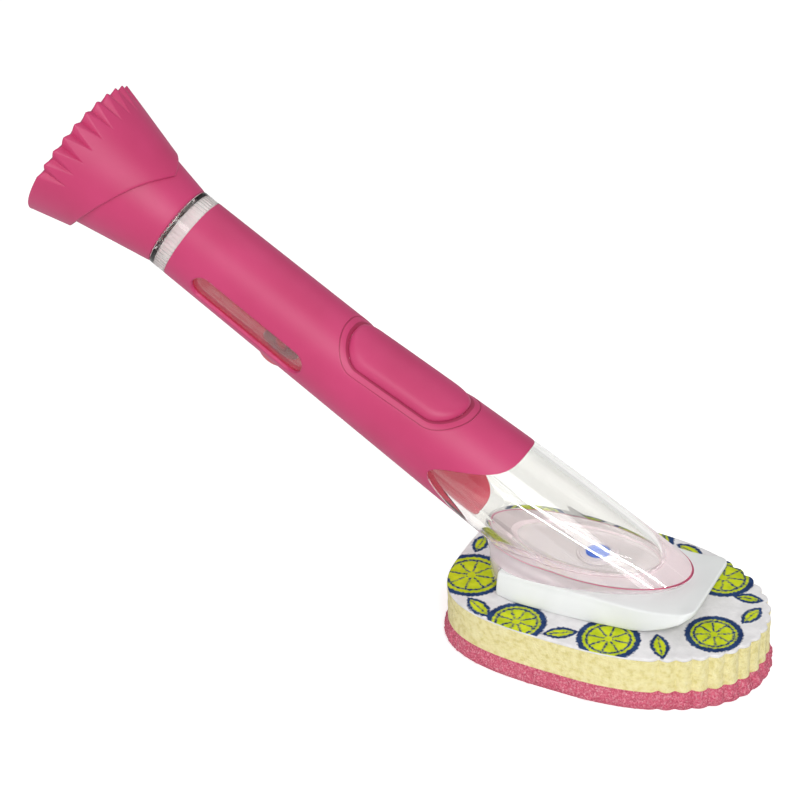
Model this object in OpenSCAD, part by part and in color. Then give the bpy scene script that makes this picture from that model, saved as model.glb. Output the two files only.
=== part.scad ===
// Soap-dispensing dish wand: a clear soap tube in a soft grip, on a slide-on sponge head.
// Millimetres. The origin is the centre of the sponge's scouring face, +X runs to the scalloped
// front of the head, +Z up, and the handle rises towards -X.
// Along the handle, s is the distance from the sponge's top face, n is the height above the
// handle's axis (towards the thumb pad) and a is the angle round the axis from n.

/* [Sponge head] */
// Length of the sponge
head_len = 112; // [100:1:125]
// Width of the sponge
head_w = 71.6; // [64:0.2:80]
// Thickness of the abrasive foam underneath
scour_t = 7; // [4:0.5:10]
// Thickness of the soft foam core
core_t = 13; // [8:0.5:18]
// Thickness of the printed top layer
print_t = 1.2; // [0.8:0.1:2]
// Squareness of the smooth rear end, where 2 is an ellipse
rear_square = 3.4; // [2:0.1:4]
// How far the abrasive foam flares past the core
scour_flare = 1.7; // [0.5:0.1:2.5]
// Width of one scallop round the front
scallop_w = 5.8; // [4:0.1:8]
// Depth of the scallops
scallop_d = 1.3; // [0.5:0.1:2]
// Number of scallops on each side of the front's middle
scallop_n = 8; // [4:1:12]
// Radius of the soap hole down into the sponge
soap_hole_r = 4; // [2:0.5:5]

/* [Connector plate] */
// Height of the plate's top face above the sponge
plate_h = 8.6; // [8:0.1:12]
// Width of the plate's foot on the sponge
plate_w = 45.6; // [43:0.2:54]
// Width of the plate's top face
plate_top_w = 39.4; // [37:0.2:43]
// Rear end of the plate, behind the centre
plate_rear = 34.6; // [32:0.1:35]
// Reach of the thumb lip, forward of the centre
lip_x = 36; // [33:0.5:40]
// Width of the thumb lip
lip_w = 37; // [30:1:39]
// Height of the lip's edge above the sponge
lip_h = 11.3; // [10:0.1:14]
// Thickness of the lip's edge
lip_t = 1.8; // [1:0.1:2.5]

/* [Slide rail] */
// Width of the rail's neck under the tube's base
rail_neck_w = 21; // [16:0.5:23]
// Width of the rail's head
rail_head_w = 28; // [26:0.5:30]
// Thickness of the rail's head
rail_head_t = 2.4; // [1.5:0.1:3]
// Depth of the rail's neck
rail_neck_t = 2.3; // [1.5:0.1:3]
// Length of the rail from the plate's rear end
rail_len = 42; // [36:1:46]
// Sliding clearance round the rail
rail_gap = 0.2; // [0.1:0.05:0.3]

/* [Handle] */
// Angle of the handle above the sponge
handle_angle = 31.7; // [29:0.1:35]
// Where the handle's axis meets the top of the sponge
handle_x = 6.1; // [4:0.1:9]
// Radius of the handle at the sponge
grip_r_low = 17.3; // [16.5:0.1:18]
// Radius of the handle at the collar
grip_r_top = 15.4; // [14.5:0.1:16.5]
// Swell of the handle's upper side at the sponge
swell = 5.4; // [3:0.1:6.5]
// Length over which the swell fades out
swell_len = 120; // [90:1:140]
// Thickness of the soft grip sleeve
sleeve_t = 1.2; // [0.8:0.1:1.6]
// Wall of the clear tube under the sleeve
wall = 1.9; // [1.5:0.1:2.5]
// Distance along the handle to the collar
collar_s = 193.9; // [185:0.1:205]
// Width of the clear collar that shows under the cap
collar_w = 6.8; // [5:0.1:9]
// Outer radius of the filling neck
neck_r = 11.6; // [10.5:0.1:12]
// Height of the neck above the collar
neck_h = 8; // [6:0.5:10]
// Radius of the filling hole
fill_r = 9.4; // [8:0.1:10]

/* [Tube base] */
// Half width of the base's oval foot
foot_w = 19.6; // [18.5:0.1:20.5]
// The foot's widest place, behind the centre
foot_x = 24; // [22:0.5:26]
// Reach of the foot in front of its widest place
foot_front = 43.5; // [40:0.5:46]
// Reach of the foot behind its widest place
foot_rear = 20.5; // [19:0.5:22]
// Height of the tube's joint above the plate's top face
joint_h = 4.4; // [4:0.1:5]
// Thickness of the floor above the plate
floor_t = 3.8; // [3:0.1:4]
// Thickness of the skirt that drops behind the plate
skirt_t = 2.2; // [1.5:0.1:3]
// Gap between the skirt and the sponge
skirt_gap = 0.5; // [0.3:0.1:1]
// Where the valve sits, behind the centre
valve_x = 5.4; // [3:0.1:8]
// Outer radius of the clear valve ring
valve_ring_r = 7.5; // [6.5:0.1:8]
// Radius of the valve's disc
valve_r = 5.3; // [4.5:0.1:5.8]

/* [Grip sleeve] */
// Distance along the handle to the tips of the sleeve's tongues
tongue_s = 56.7; // [52:0.1:64]
// Height of the side arches
arch_rise = 22.3; // [15:0.1:26]
// How far the arch tops lie below the axis
arch_drop = 1; // [0:0.1:3]
// Start of the side windows along the handle
window_s = 134.8; // [130:0.1:140]
// Length of the side windows
window_len = 48.4; // [30:0.1:50]
// Width of the side windows
window_w = 9.6; // [7:0.1:11]
// How far the windows lie below the axis
window_drop = 2.1; // [0:0.1:4]

/* [Thumb pad] */
// Distance along the handle to the middle of the pad
pad_s = 105.3; // [104:0.1:106.5]
// Length of the opening round the pad
pad_open_l = 57; // [52:0.5:58]
// Width of the opening round the pad
pad_open_w = 27.4; // [26:0.2:28.4]
// Width of the moat along the pad's sides
moat_w = 2.7; // [2.2:0.1:3]
// Width of the moat at the pad's ends
moat_end_w = 5.2; // [4:0.1:6]
// Depth of the moat below the grip's surface
moat_d = 0.7; // [0.5:0.05:0.8]
// How far the pad stands proud of the grip
pad_proud = 0.35; // [0:0.05:0.6]

/* [Air vent] */
// Distance along the handle to the vent plug
vent_s = 147.5; // [142:0.5:152]
// Radius of the vent plug's disc
vent_r = 7.3; // [5:0.1:8]
// How far the disc stands proud of the grip
vent_proud = 0.8; // [0.4:0.1:1.5]
// Radius of the plug's stem
vent_stem_r = 2.6; // [1.5:0.1:3.5]
// How far the stem reaches into the soap space
vent_tip = 1.5; // [0.5:0.1:3]

/* [Cap] */
// Length of the cap along the handle
cap_len = 44.3; // [38:0.1:50]
// Widening of the cap's shell for each millimetre of length
cap_flare = 0.19; // [0.15:0.01:0.21]
// Gap between the cap and the collar
cap_gap = 0.3; // [0.2:0.05:0.5]
// Radial clearance of the cap on the neck
thread_gap = 0.08; // [0.03:0.01:0.1]
// Wall of the cap's shell
cap_wall = 2; // [1.5:0.1:2.5]
// Thickness of the seal under the cap's roof
seal_t = 1.4; // [1:0.1:2]

/* [Pleated skin] */
// Start of the skin's tongue above the foot of the cap
skin_start = 9.3; // [7:0.1:12]
// How much further up the skin starts on the underside
skin_rise = 21.5; // [15:0.5:24]
// Thickness of the skin at its tongue
skin_t = 0.85; // [0.6:0.05:1.2]
// Widening of the skin for each millimetre of length
skin_flare = 0.265; // [0.25:0.005:0.29]
// Number of pleats over the upper half of the rim
pleats = 13; // [7:2:15]
// Angle of one pleat
pleat_angle = 12.45; // [11:0.05:13]
// Length of the pleats
pleat_len = 9; // [6:0.5:12]
// Depth of the pleats
pleat_d = 1.4; // [0.8:0.1:1.8]
// How far the pleats' valleys cut into the rim
pleat_notch = 0.9; // [0.3:0.1:1.2]
// Thickness of the end face
end_t = 2; // [1.5:0.1:3]
// Crown of the end face
end_crown = 1.2; // [0:0.1:2]

/* [Hidden] */
$fn = 96;

head_t = scour_t + core_t + print_t;    // Top face of the sponge
front_square = 2.06;                    // Squareness of the scalloped front end
cols = 72;                              // Points round each ring of the handle
foam_pass = 480;                        // Points of the first pass round the sponge's outline
seat = 0.05;                            // Gap between parts that are pressed together
cut = 1;                                // Overshoot of a cutting shape
tube_inset = sleeve_t + wall;           // Depth of the soap space below the grip's surface
collar_top = collar_s + collar_w;
neck_top = collar_top + neck_h;
joint_z = plate_h + joint_h;            // Tube's joint, above the sponge
floor_z = plate_h + floor_t;            // Soap space's floor, above the sponge
cap_s = collar_top + cap_gap;           // Foot of the cap
roof_s = neck_top + seal_t + cap_gap;   // Roof over the neck, inside the cap
cap_end = cap_s + cap_len;              // Rim of the cap
shell_end = cap_end - end_t;
valve_lip = 1.1;                        // Height of the valve ring above the floor
valve_deep = 1.6;                       // Depth of the valve's seat in the floor
valve_rim = 0.5;                        // Height of the valve's flange above the floor
slit_w = 0.2;                           // Width of the valve's cross slit
port_gap = 0.8;                         // Clearance of the pad inside the tube's port
pad_gap = 0.3;                          // Clearance of the pad inside its skirt
foot_tip = foot_front - foot_x;         // Front end of the tube's base

// A point on the handle, from its height above the axis, its sideways place and its distance s
function handle_pt(n, y, s) = [handle_x - s * cos(handle_angle) + n * sin(handle_angle), y,
                               head_t + s * sin(handle_angle) + n * cos(handle_angle)];

// Outer radius of the grip: a straight taper, plus a swell on the upper side
function grip_r(s, a) = let (k = max(0, 1 - s / swell_len))
    grip_r_low + (grip_r_top - grip_r_low) * s / collar_s
    + (k > 0 ? swell * sin(90 * min(1, k)) * max(0, cos(a)) : 0);

// Where the grip's surface, moved in by an inset, meets a level above the sponge
function level_s(a, level, inset, s = 10, k = 7) = k == 0 ? s
    : level_s(a, level, inset,
              (level - (grip_r(s, a) - inset) * cos(a) * cos(handle_angle)) / sin(handle_angle), k - 1);

// Lower edge of the sleeve: an arch on each side between a front and a rear tongue
function arch_s(a) = let (n = grip_r(tongue_s, a) * cos(a),
                          reach = n + arch_drop > 0 ? grip_r(tongue_s, 0) + arch_drop
                                                    : grip_r(tongue_s, 180) - arch_drop)
    tongue_s + arch_rise * (1 + cos(180 * min(1, abs(n + arch_drop) / reach))) / 2;

angles = [for (i = [0 : cols - 1]) 360 * i / cols];

// A ring round the handle at the distances given by a list, moved in by an inset
function ring_at(slist, inset) = [for (i = [0 : cols - 1])
    let (r = grip_r(slist[i], angles[i]) - inset)
    handle_pt(r * cos(angles[i]), r * sin(angles[i]), slist[i])];
function flat_list(s) = [for (a = angles) s];
function mix(p, q, k) = [for (i = [0 : len(p) - 1]) p[i] * (1 - k) + q[i] * k];

// Rings between two lists of distances, at the shares given
function rings_between(low, high, shares, inset) =
    [for (k = shares) ring_at(mix(low, high, k), inset)];

// Distances of the rings that follow the swell, down to a straight taper
swell_rings = [84, 96, 108, swell_len];
arch_list = [for (a = angles) arch_s(a)];

// The grip's surface from its arched lower edge to a distance near the collar, moved in by an inset
function grip_rings(high, inset) = concat(
    rings_between(arch_list, flat_list(swell_rings[0]), [0, 0.5], inset),
    [for (s = swell_rings) ring_at(flat_list(s), inset)],
    [ring_at(flat_list(high), inset)]);

// A closed solid through a stack of rings, with a fan over each end
module ring_solid(rings) {
    n = len(rings[0]);
    m = len(rings);
    function middle(ring) = [for (p = ring) 1] * ring / len(ring);
    points = concat([for (r = rings) each r], [middle(rings[0]), middle(rings[m - 1])]);
    sides = [for (k = [0 : m - 2], i = [0 : n - 1])
             let (j = (i + 1) % n)
             each [[k * n + i, (k + 1) * n + i, k * n + j],
                   [k * n + j, (k + 1) * n + i, (k + 1) * n + j]]];
    ends = [for (i = [0 : n - 1])
            let (j = (i + 1) % n)
            each [[m * n, i, j], [m * n + 1, (m - 1) * n + j, (m - 1) * n + i]]];
    polyhedron(points, concat(sides, ends), convexity = 10);
}

// The same through flat rings, with one flat face over each end
module section_solid(rings) {
    n = len(rings[0]);
    m = len(rings);
    sides = [for (k = [0 : m - 2], i = [0 : n - 1])
             let (j = (i + 1) % n)
             each [[k * n + i, (k + 1) * n + i, k * n + j],
                   [k * n + j, (k + 1) * n + i, (k + 1) * n + j]]];
    ends = [[for (i = [0 : n - 1]) i], [for (i = [n - 1 : -1 : 0]) (m - 1) * n + i]];
    polyhedron([for (r = rings) each r], concat(sides, ends), convexity = 10);
}

// Places its children on the handle's axis at distance s, with z along the handle and x along n
module on_handle(s) translate(handle_pt(0, 0, s)) rotate([0, handle_angle - 90, 0]) children();

// A rounded bar lying along the handle, seen square to the pad, from height n_low to n_high
module pad_prism(l, w, r, n_low, n_high)
    on_handle(pad_s) rotate([0, 90, 0]) translate([0, 0, n_low]) linear_extrude(n_high - n_low) {
        square([l - 2 * r, w], center = true);
        square([l, w - 2 * r], center = true);
        for (x = [-1, 1], y = [-1, 1]) translate([x * (l / 2 - r), y * (w / 2 - r)]) circle(r);
    }

pad_l = pad_open_l - 2 * moat_end_w;
pad_w = pad_open_w - 2 * moat_w;
open_r = pad_open_w * 0.45;             // Corner radius of the opening
pad_r = pad_w * 0.45;                   // Corner radius of the pad
pad_low = sleeve_t + pad_gap;           // Underside of the pad below the grip's surface
pad_reach = 60;                         // Angle on each side of n that the pad's slices cover

module pad_opening() pad_prism(pad_open_l, pad_open_w, open_r, 0, grip_r_low + swell + cut);
module pad_port() pad_prism(pad_l + 2 * port_gap, pad_w + 2 * port_gap, pad_r + port_gap, 0,
                            grip_r_low + swell + cut);

module vent_post(r, n_low, n_high)
    on_handle(vent_s) rotate([0, -90, 0]) translate([0, 0, n_low]) cylinder(h = n_high - n_low, r = r);

// The clear soap tube. Below the sleeve it is flush with it, and it narrows by a step under it.
level_list = [for (a = angles) level_s(a, joint_z, 0)];
inner_list = [for (a = angles) level_s(a, joint_z - cut, tube_inset)];
shoulder_s = collar_s - 4;
module reservoir() color("lightcyan", 0.5) {
    difference() {
        union() {
            ring_solid(concat(
                rings_between(level_list, mix(arch_list, level_list, 0.01), [0, 0.33, 0.67, 1], 0),
                grip_rings(collar_s + cut, sleeve_t)));
            on_handle(collar_s) cylinder(h = collar_w, r = grip_r_top);
            on_handle(collar_top - cut) cylinder(h = neck_h + cut, r = neck_r);
        }
        ring_solid(concat(
            rings_between(inner_list, flat_list(swell_rings[0]), [0, 0.35, 0.7, 1], tube_inset),
            [for (s = [swell_rings[2], swell_len, shoulder_s]) ring_at(flat_list(s), tube_inset)]));
        on_handle(shoulder_s - 0.5) cylinder(h = 3, r1 = grip_r_top - tube_inset, r2 = fill_r);
        on_handle(shoulder_s) cylinder(h = neck_top - shoulder_s + cut, r = fill_r);
        pad_port();
        vent_post(vent_stem_r + seat, 0, grip_r_low + cut);
    }
}

// The clear base under the tube: it grows out of an oval foot, with the floor, the valve's seat,
// the slide rail below and a skirt behind
function foot_pt(a, inset, z) = [-foot_x + (cos(a) > 0 ? foot_front - inset : foot_rear - inset) * cos(a),
                                 (foot_w - inset) * sin(a), head_t + z];
function foot_ring(inset, z) = [for (a = angles) foot_pt(a, inset, z)];
joint_ring = ring_at(level_list, 0);
bore_list = [for (a = angles) level_s(a, joint_z, tube_inset)];
bore_ring = ring_at(bore_list, tube_inset);
function lifted(ring, dz) = [for (p = ring) p + [0, 0, dz]];
function shrunk(ring, k) = let (c = [for (p = ring) 1] * ring / len(ring))
    [for (p = ring) [c[0] + (p[0] - c[0]) * k, p[1] * k, p[2]]];
rail_x0 = -plate_rear;
neck_z = plate_h - rail_neck_t;
rail_z = neck_z - rail_head_t;
module tube_base() color("lightcyan", 0.5) {
    difference() {
        union() {
            ring_solid([for (q = [0 : 18 : 90])
                let (low = foot_ring(0, plate_h), k = sin(q), up = joint_h * (1 - cos(q)))
                [for (i = [0 : cols - 1]) [low[i][0] * (1 - k) + joint_ring[i][0] * k,
                                           low[i][1] * (1 - k) + joint_ring[i][1] * k,
                                           low[i][2] + up]]]);
            translate([rail_x0, -rail_neck_w / 2, head_t + neck_z])
                cube([rail_len, rail_neck_w, rail_neck_t + cut]);
            translate([rail_x0, -rail_head_w / 2, head_t + rail_z])
                cube([rail_len, rail_head_w, rail_head_t]);
            rear_skirt();
        }
        ring_solid([lifted(shrunk(bore_ring, 0.86), floor_z - joint_z),
                    lifted(shrunk(bore_ring, 0.97), (floor_z - joint_z) * 0.6), bore_ring,
                    lifted(bore_ring, cut)]);
        translate([-valve_x, 0, head_t + floor_z - valve_deep])
            cylinder(h = valve_deep + cut, r = valve_ring_r + seat);
        translate([-valve_x, 0, head_t + rail_z - cut]) cylinder(h = plate_h, r = soap_hole_r);
    }
}

// The wall that closes the base behind the plate, down to just above the sponge
module rear_skirt() intersection() {
    difference() {
        section_solid([foot_ring(0, skirt_gap), foot_ring(0, plate_h + joint_h / 2)]);
        section_solid([foot_ring(skirt_t, skirt_gap - cut), foot_ring(skirt_t, plate_h)]);
    }
    translate([-foot_x - foot_rear - cut, -foot_w, head_t])
        cube([foot_x + foot_rear - plate_rear + cut - 2 * rail_gap, 2 * foot_w, plate_h + cut]);
}

module valve_ring() color("aliceblue", 0.6) {
    translate([-valve_x, 0, head_t + floor_z]) rotate_extrude() polygon([
        [valve_r + seat, -valve_deep], [valve_ring_r, -valve_deep], [valve_ring_r, valve_lip * 0.4],
        [valve_ring_r - valve_rim, valve_lip], [valve_r - valve_rim, valve_lip],
        [valve_r - valve_rim, valve_rim + seat], [valve_r + seat, valve_rim + seat]]);
}

// The blue valve: a flanged disc with a dished middle, cut by a cross slit
module soap_valve() color("royalblue") {
    translate([-valve_x, 0, head_t + floor_z]) difference() {
        union() {
            translate([0, 0, -valve_deep]) cylinder(h = valve_deep + valve_rim, r = valve_r);
            cylinder(h = valve_lip + seat, r1 = valve_r - valve_rim - seat, r2 = valve_r * 0.75);
        }
        translate([0, 0, valve_r * 0.65]) sphere(valve_r * 0.55);
        for (turn = [0, 90]) rotate(turn) translate([-valve_r * 0.4, -slit_w / 2, -valve_r])
            cube([valve_r * 0.8, slit_w, 2 * valve_r]);
    }
}

// The soft grip over the tube, with its pad opening, side windows, vent hole and arched lower edge
module grip_sleeve() color("hotpink") {
    difference() {
        ring_solid(grip_rings(collar_s, 0));
        ring_solid(concat([ring_at([for (s = arch_list) s - cut], sleeve_t)],
                          grip_rings(collar_s + cut, sleeve_t)));
        pad_opening();
        on_handle(window_s + window_len / 2) translate([-window_drop, 0, 0]) rotate([90, 0, 0]) {
            translate([-window_w / 2, -(window_len - window_w) / 2, -2 * grip_r_low])
                cube([window_w, window_len - window_w, 4 * grip_r_low]);
            for (end = [-1, 1]) translate([0, end * (window_len - window_w) / 2, -2 * grip_r_low])
                cylinder(h = 4 * grip_r_low, r = window_w / 2);
        }
        vent_post(vent_r + seat, 0, grip_r_low + cut);
    }
}

// A slice of the grip's own wall under the pad opening, between two depths
function slice_pt(s, a, inset) = let (r = grip_r(s, a) - inset) handle_pt(r * cos(a), r * sin(a), s);
module wall_slice(outer, inner) {
    step = 360 / cols;
    section_solid([for (s = concat([pad_s - pad_open_l / 2 - cut], swell_rings,
                                   [pad_s + pad_open_l / 2 + cut]))
        concat([for (a = [-pad_reach : step : pad_reach]) slice_pt(s, a, outer)],
               [for (a = [pad_reach : -step : -pad_reach]) slice_pt(s, a, inner)])]);
}

module thumb_pad() color("hotpink") {
    intersection() {
        wall_slice(-pad_proud, pad_low);
        pad_prism(pad_l, pad_w, pad_r, 0, grip_r_low + swell + cut);
    }
}

// The thin skirt that seals the pad to the sleeve and gives when the pad is pressed
module pad_skirt() color("deeppink") {
    difference() {
        intersection() {
            wall_slice(moat_d, sleeve_t - seat);
            pad_prism(pad_open_l - 2 * seat, pad_open_w - 2 * seat, open_r - seat, 0, grip_r_low + swell + cut);
        }
        pad_prism(pad_l + 2 * pad_gap, pad_w + 2 * pad_gap, pad_r + pad_gap, 0,
                  grip_r_low + swell + 2 * cut);
    }
}

// The vent plug's disc lies on the tube in a hole of the sleeve, and its stem goes through the wall
module vent_plug() color("lightpink") {
    out = grip_r(vent_s, 180) + vent_proud;
    low = vent_s - 2 * vent_r;
    high = vent_s + 2 * vent_r;
    difference() {
        vent_post(vent_r, out / 2, out);
        on_handle(low) cylinder(h = high - low, r1 = grip_r(low, 180) - sleeve_t + seat,
                                r2 = grip_r(high, 180) - sleeve_t + seat);
    }
    vent_post(vent_stem_r, grip_r(vent_s, 180) - tube_inset - vent_tip, out - vent_proud);
}

// The cap's shell: a threaded socket under a roof, and a flared shell above it
module cap_shell() color("deeppink") {
    room_s = roof_s + cap_wall;
    over = shell_end + cut;
    on_handle(cap_s) difference() {
        cylinder(h = shell_end - cap_s, r1 = shell_r(cap_s), r2 = shell_r(shell_end));
        translate([0, 0, -cut]) cylinder(h = roof_s - cap_s + cut, r = neck_r + thread_gap);
        translate([0, 0, room_s - cap_s])
            cylinder(h = over - room_s, r1 = shell_r(room_s) - cap_wall, r2 = shell_r(over) - cap_wall);
    }
}

module cap_seal() color("white") {
    on_handle(neck_top + cap_gap / 2) difference() {
        cylinder(h = seal_t, r = neck_r - cap_gap);
        translate([0, 0, -cut]) cylinder(h = seal_t + 2 * cut, r = fill_r * 0.8);
    }
}

// The pleated skin: its lower edge is a tongue in front, and its rim is pleated over the upper half.
// A pleat is one half wave of a sine, so its crest is round and its valley is sharp.
fine = 8;                               // Points across one pleat
plain = 30;                             // Points round the plain part of the rim
pleat_half = pleats * pleat_angle / 2;
skin_angles = concat([for (i = [0 : pleats * fine - 1]) -pleat_half + i * pleat_angle / fine],
                     [for (i = [0 : plain - 1]) pleat_half + i * (360 - 2 * pleat_half) / plain]);
function wrapped(a) = a > 180 ? a - 360 : a;
function crest(a) = abs(wrapped(a)) > pleat_half ? 1
    : abs(cos(180 * wrapped(a) / pleat_angle + (pleats % 2 == 1 ? 0 : 90)));
function skin_low(a) = cap_s + skin_start + skin_rise * pow(abs(sin(wrapped(a) / 2)), 1.2);
function shell_r(s) = grip_r_top - seat + cap_flare * (s - cap_s);
function skin_r(s) = shell_r(cap_s + skin_start) + skin_t + skin_flare * (s - cap_s - skin_start);
function ease(k) = let (q = max(0, min(1, k))) q * q * (3 - 2 * q);
function skin_ring(k) = [for (a = skin_angles)
    let (low = skin_low(a), rim = cap_end - pleat_notch * (1 - crest(a)),
         s = low + (rim - low) * k,
         w = ease((s - (cap_end - pleat_len)) / pleat_len),
         r = skin_r(s) - pleat_d * w * (1 - crest(a)))
    handle_pt(r * cos(a), r * sin(a), s)];
function end_ring(k, s) = [for (a = skin_angles)
    let (r = (skin_r(cap_end) - pleat_d * (1 - crest(a))) * k)
    handle_pt(r * cos(a), r * sin(a), s)];
function lining_ring(k) = [for (a = skin_angles)
    let (low = skin_low(a), s = low + (shell_end - low) * k, r = shell_r(s) + seat)
    handle_pt(r * cos(a), r * sin(a), s)];
function lid_ring(k) = [for (a = skin_angles)
    let (r = (shell_r(shell_end) + seat) * k) handle_pt(r * cos(a), r * sin(a), shell_end + seat)];
module cap_skin() color("hotpink") {
    ring_solid(concat([lid_ring(1), lining_ring(1), lining_ring(0)],
                      [for (k = [0, 0.4, 0.7, 0.8, 0.9, 1]) skin_ring(k)],
                      [end_ring(0.93, cap_end + end_crown * 0.2), end_ring(0.5, cap_end + end_crown)]));
}

// The white connector plate is a loft of cross-sections along x. Its sides slope out to the foot,
// its underside lifts towards the front, and its top rises in a hollow curve to the thumb lip.
lip_run = lip_x - foot_tip;             // Length of the hollow rise
lip_corner = 5;                         // Corner radius of the lip, seen from above
lip_start = 6;                          // How far before the ramp the underside starts to lift
rear_draw = 1.6;                        // How far the foot draws in at the rear end
edge = 0.7;                             // Rounding of the plate's edges
plate_stations = concat([for (k = [0, 0.12, 0.35, 0.65, 1]) -plate_rear + k * (foot_tip + plate_rear)],
                        [for (k = [0.15, 0.35, 0.52, 0.65]) foot_tip + k * lip_run],
                        [for (q = [0 : 15 : 90]) lip_x - lip_corner * (1 - sin(q))]);
function plate_top(x) = plate_h + (lip_h - plate_h) * pow(max(0, (x - foot_tip) / lip_run), 1.7);
function plate_under(x) = (lip_h - lip_t)
    * pow(max(0, (x - foot_tip + lip_start) / (lip_run + lip_start)), 1.8);
function corner_cut(x) = let (k = max(0, (x - lip_x + lip_corner) / lip_corner))
    lip_corner * (1 - sqrt(max(0, 1 - k * k)));
function foot_half(x) = plate_w / 2 - (plate_w / 2 - plate_top_w / 2 - edge) * ease((x + foot_x / 2) / lip_x)
    - rear_draw * ease((rear_draw * lip_corner - x - plate_rear) / (rear_draw * lip_corner));
function top_half(x) = plate_top_w / 2 - (plate_top_w - lip_w) / 2 * ease((x - foot_tip + lip_start) / lip_run);
function plate_section(x) =
    let (wt = top_half(x) - corner_cut(x),
         zt = plate_top(x),
         zb = plate_under(x),
         lift = zb / lip_h,
         wb = max(wt, foot_half(x) * (1 - lift) + wt * lift - corner_cut(x)),
         half = concat([[wb - edge, zb], [wb, zb + edge]],
                       [for (k = [0.3, 0.55, 0.8])
                           [wb + (wt - wb) * pow(k, 1.5), zb + edge + (zt - zb - 2 * edge) * k]],
                       [[wt, zt - edge], [wt - edge * 0.3, zt - edge * 0.3], [wt - edge, zt]]))
    concat([for (p = half) [x, p[0], head_t + p[1]]],
           [for (i = [len(half) - 1 : -1 : 0]) [x, -half[i][0], head_t + half[i][1]]]);
slot_z = rail_z - rail_gap;
module connector_plate() color("white") {
    difference() {
        section_solid([for (x = plate_stations) plate_section(x)]);
        translate([rail_x0 - cut, -rail_head_w / 2 - rail_gap, head_t + slot_z])
            cube([rail_len + cut + rail_gap, rail_head_w + 2 * rail_gap, rail_head_t + 2 * rail_gap]);
        translate([rail_x0 - cut, -rail_neck_w / 2 - rail_gap, head_t + slot_z])
            cube([rail_len + cut + rail_gap, rail_neck_w + 2 * rail_gap, plate_h]);
        translate([-valve_x, 0, head_t - cut]) cylinder(h = plate_h, r = soap_hole_r);
    }
}

// The sponge's outline: a blend of a square oval behind and an ellipse in front
function outline_pt(t, grow) = let (c = cos(t), s = sin(t), q = c > 0 ? front_square : rear_square)
    [(head_len / 2 + grow) * sign(c) * pow(abs(c), 2 / q), (head_w / 2 + grow) * sign(s) * pow(abs(s), 2 / q)];
// Places round the edge are given by their distance from the front tip, worked out on a fine pass
pass = [for (i = [0 : foam_pass]) outline_pt(i * 360 / foam_pass, 0)];
way = [for (i = 0, w = 0; i <= foam_pass; i = i + 1,
            w = w + (i <= foam_pass ? norm(pass[i] - pass[i - 1]) : 0)) w];
round_trip = way[foam_pass];
function edge_pt(w, i = 1) = way[i] >= w || i >= foam_pass
    ? let (k = (w - way[i - 1]) / max(0.001, way[i] - way[i - 1])) pass[i - 1] * (1 - k) + pass[i] * k
    : edge_pt(w, i + 1);
// Outward direction square to the edge
function edge_out(w) = let (u = edge_pt(min(round_trip, w + 0.4)) - edge_pt(max(0, w - 0.4)))
    [u[1], -u[0]] / norm(u);
// A scallop is one half wave of a sine, with a round crest and a sharp valley
scallop_fine = 6;                       // Points across one scallop
scallop_way = scallop_n * scallop_w;    // Distance from the front tip to the last scallop's end
rear_cols = 64;                         // Points round the smooth rear
function dent(w) = let (to_tip = min(w, round_trip - w))
    to_tip > scallop_way ? 0 : scallop_d * (1 - abs(cos(180 * to_tip / scallop_w)));
foam_ways = concat([for (i = [0 : scallop_n * scallop_fine - 1]) i * scallop_w / scallop_fine],
                   [for (i = [0 : rear_cols - 1])
                       scallop_way + i * (round_trip - 2 * scallop_way) / rear_cols],
                   [for (i = [scallop_n * scallop_fine : -1 : 1])
                       round_trip - i * scallop_w / scallop_fine]);
foam_edge = [for (w = foam_ways) edge_pt(w)];
foam_out = [for (w = foam_ways) edge_out(w)];
foam_dent = [for (w = foam_ways) dent(w)];
function foam_ring(grow, z, share) = [for (i = [0 : len(foam_ways) - 1])
    let (q = foam_edge[i] + foam_out[i] * (grow - foam_dent[i] * share)) [q[0], q[1], z]];
module foam_slab(z, t) translate([0, 0, z]) linear_extrude(t)
    polygon([for (p = foam_ring(0, 0, 1)) [p[0], p[1]]]);
module soap_hole(z, t) translate([-valve_x, 0, z]) cylinder(h = t, r = soap_hole_r);

module print_layer() color("whitesmoke") {
    difference() {
        foam_slab(scour_t + core_t, print_t);
        soap_hole(scour_t + core_t - cut, print_t + 2 * cut);
    }
}

module foam_core() color("khaki") {
    difference() {
        foam_slab(scour_t, core_t);
        soap_hole(scour_t + core_t * 0.3, core_t);
    }
}

// The abrasive foam flares out below the core and rounds under at the scouring face
module scour_foam() color("palevioletred") {
    section_solid([foam_ring(scour_flare * 0.5, 0, 0.6), foam_ring(scour_flare, scour_t * 0.25, 0.7),
                   foam_ring(0, scour_t, 1)]);
}

reservoir();
tube_base();
valve_ring();
soap_valve();
grip_sleeve();
thumb_pad();
pad_skirt();
vent_plug();
cap_shell();
cap_skin();
cap_seal();
connector_plate();
print_layer();
foam_core();
scour_foam();
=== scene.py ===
"""Dish wand: a clear soap tube in a soft pink grip, with a pleated screw cap, on a slide-on sponge head.

Every surface is worked out in millimetres in the row's frame and turned to metres as it becomes a mesh.
Along the handle, s is the distance from the sponge's top face, n the height above the handle's axis
and a the angle round the axis from n, in degrees.
"""
import itertools
import math

import bpy
import bmesh
import numpy as np
from mathutils import Matrix, Vector
from mathutils.geometry import delaunay_2d_cdt


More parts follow.
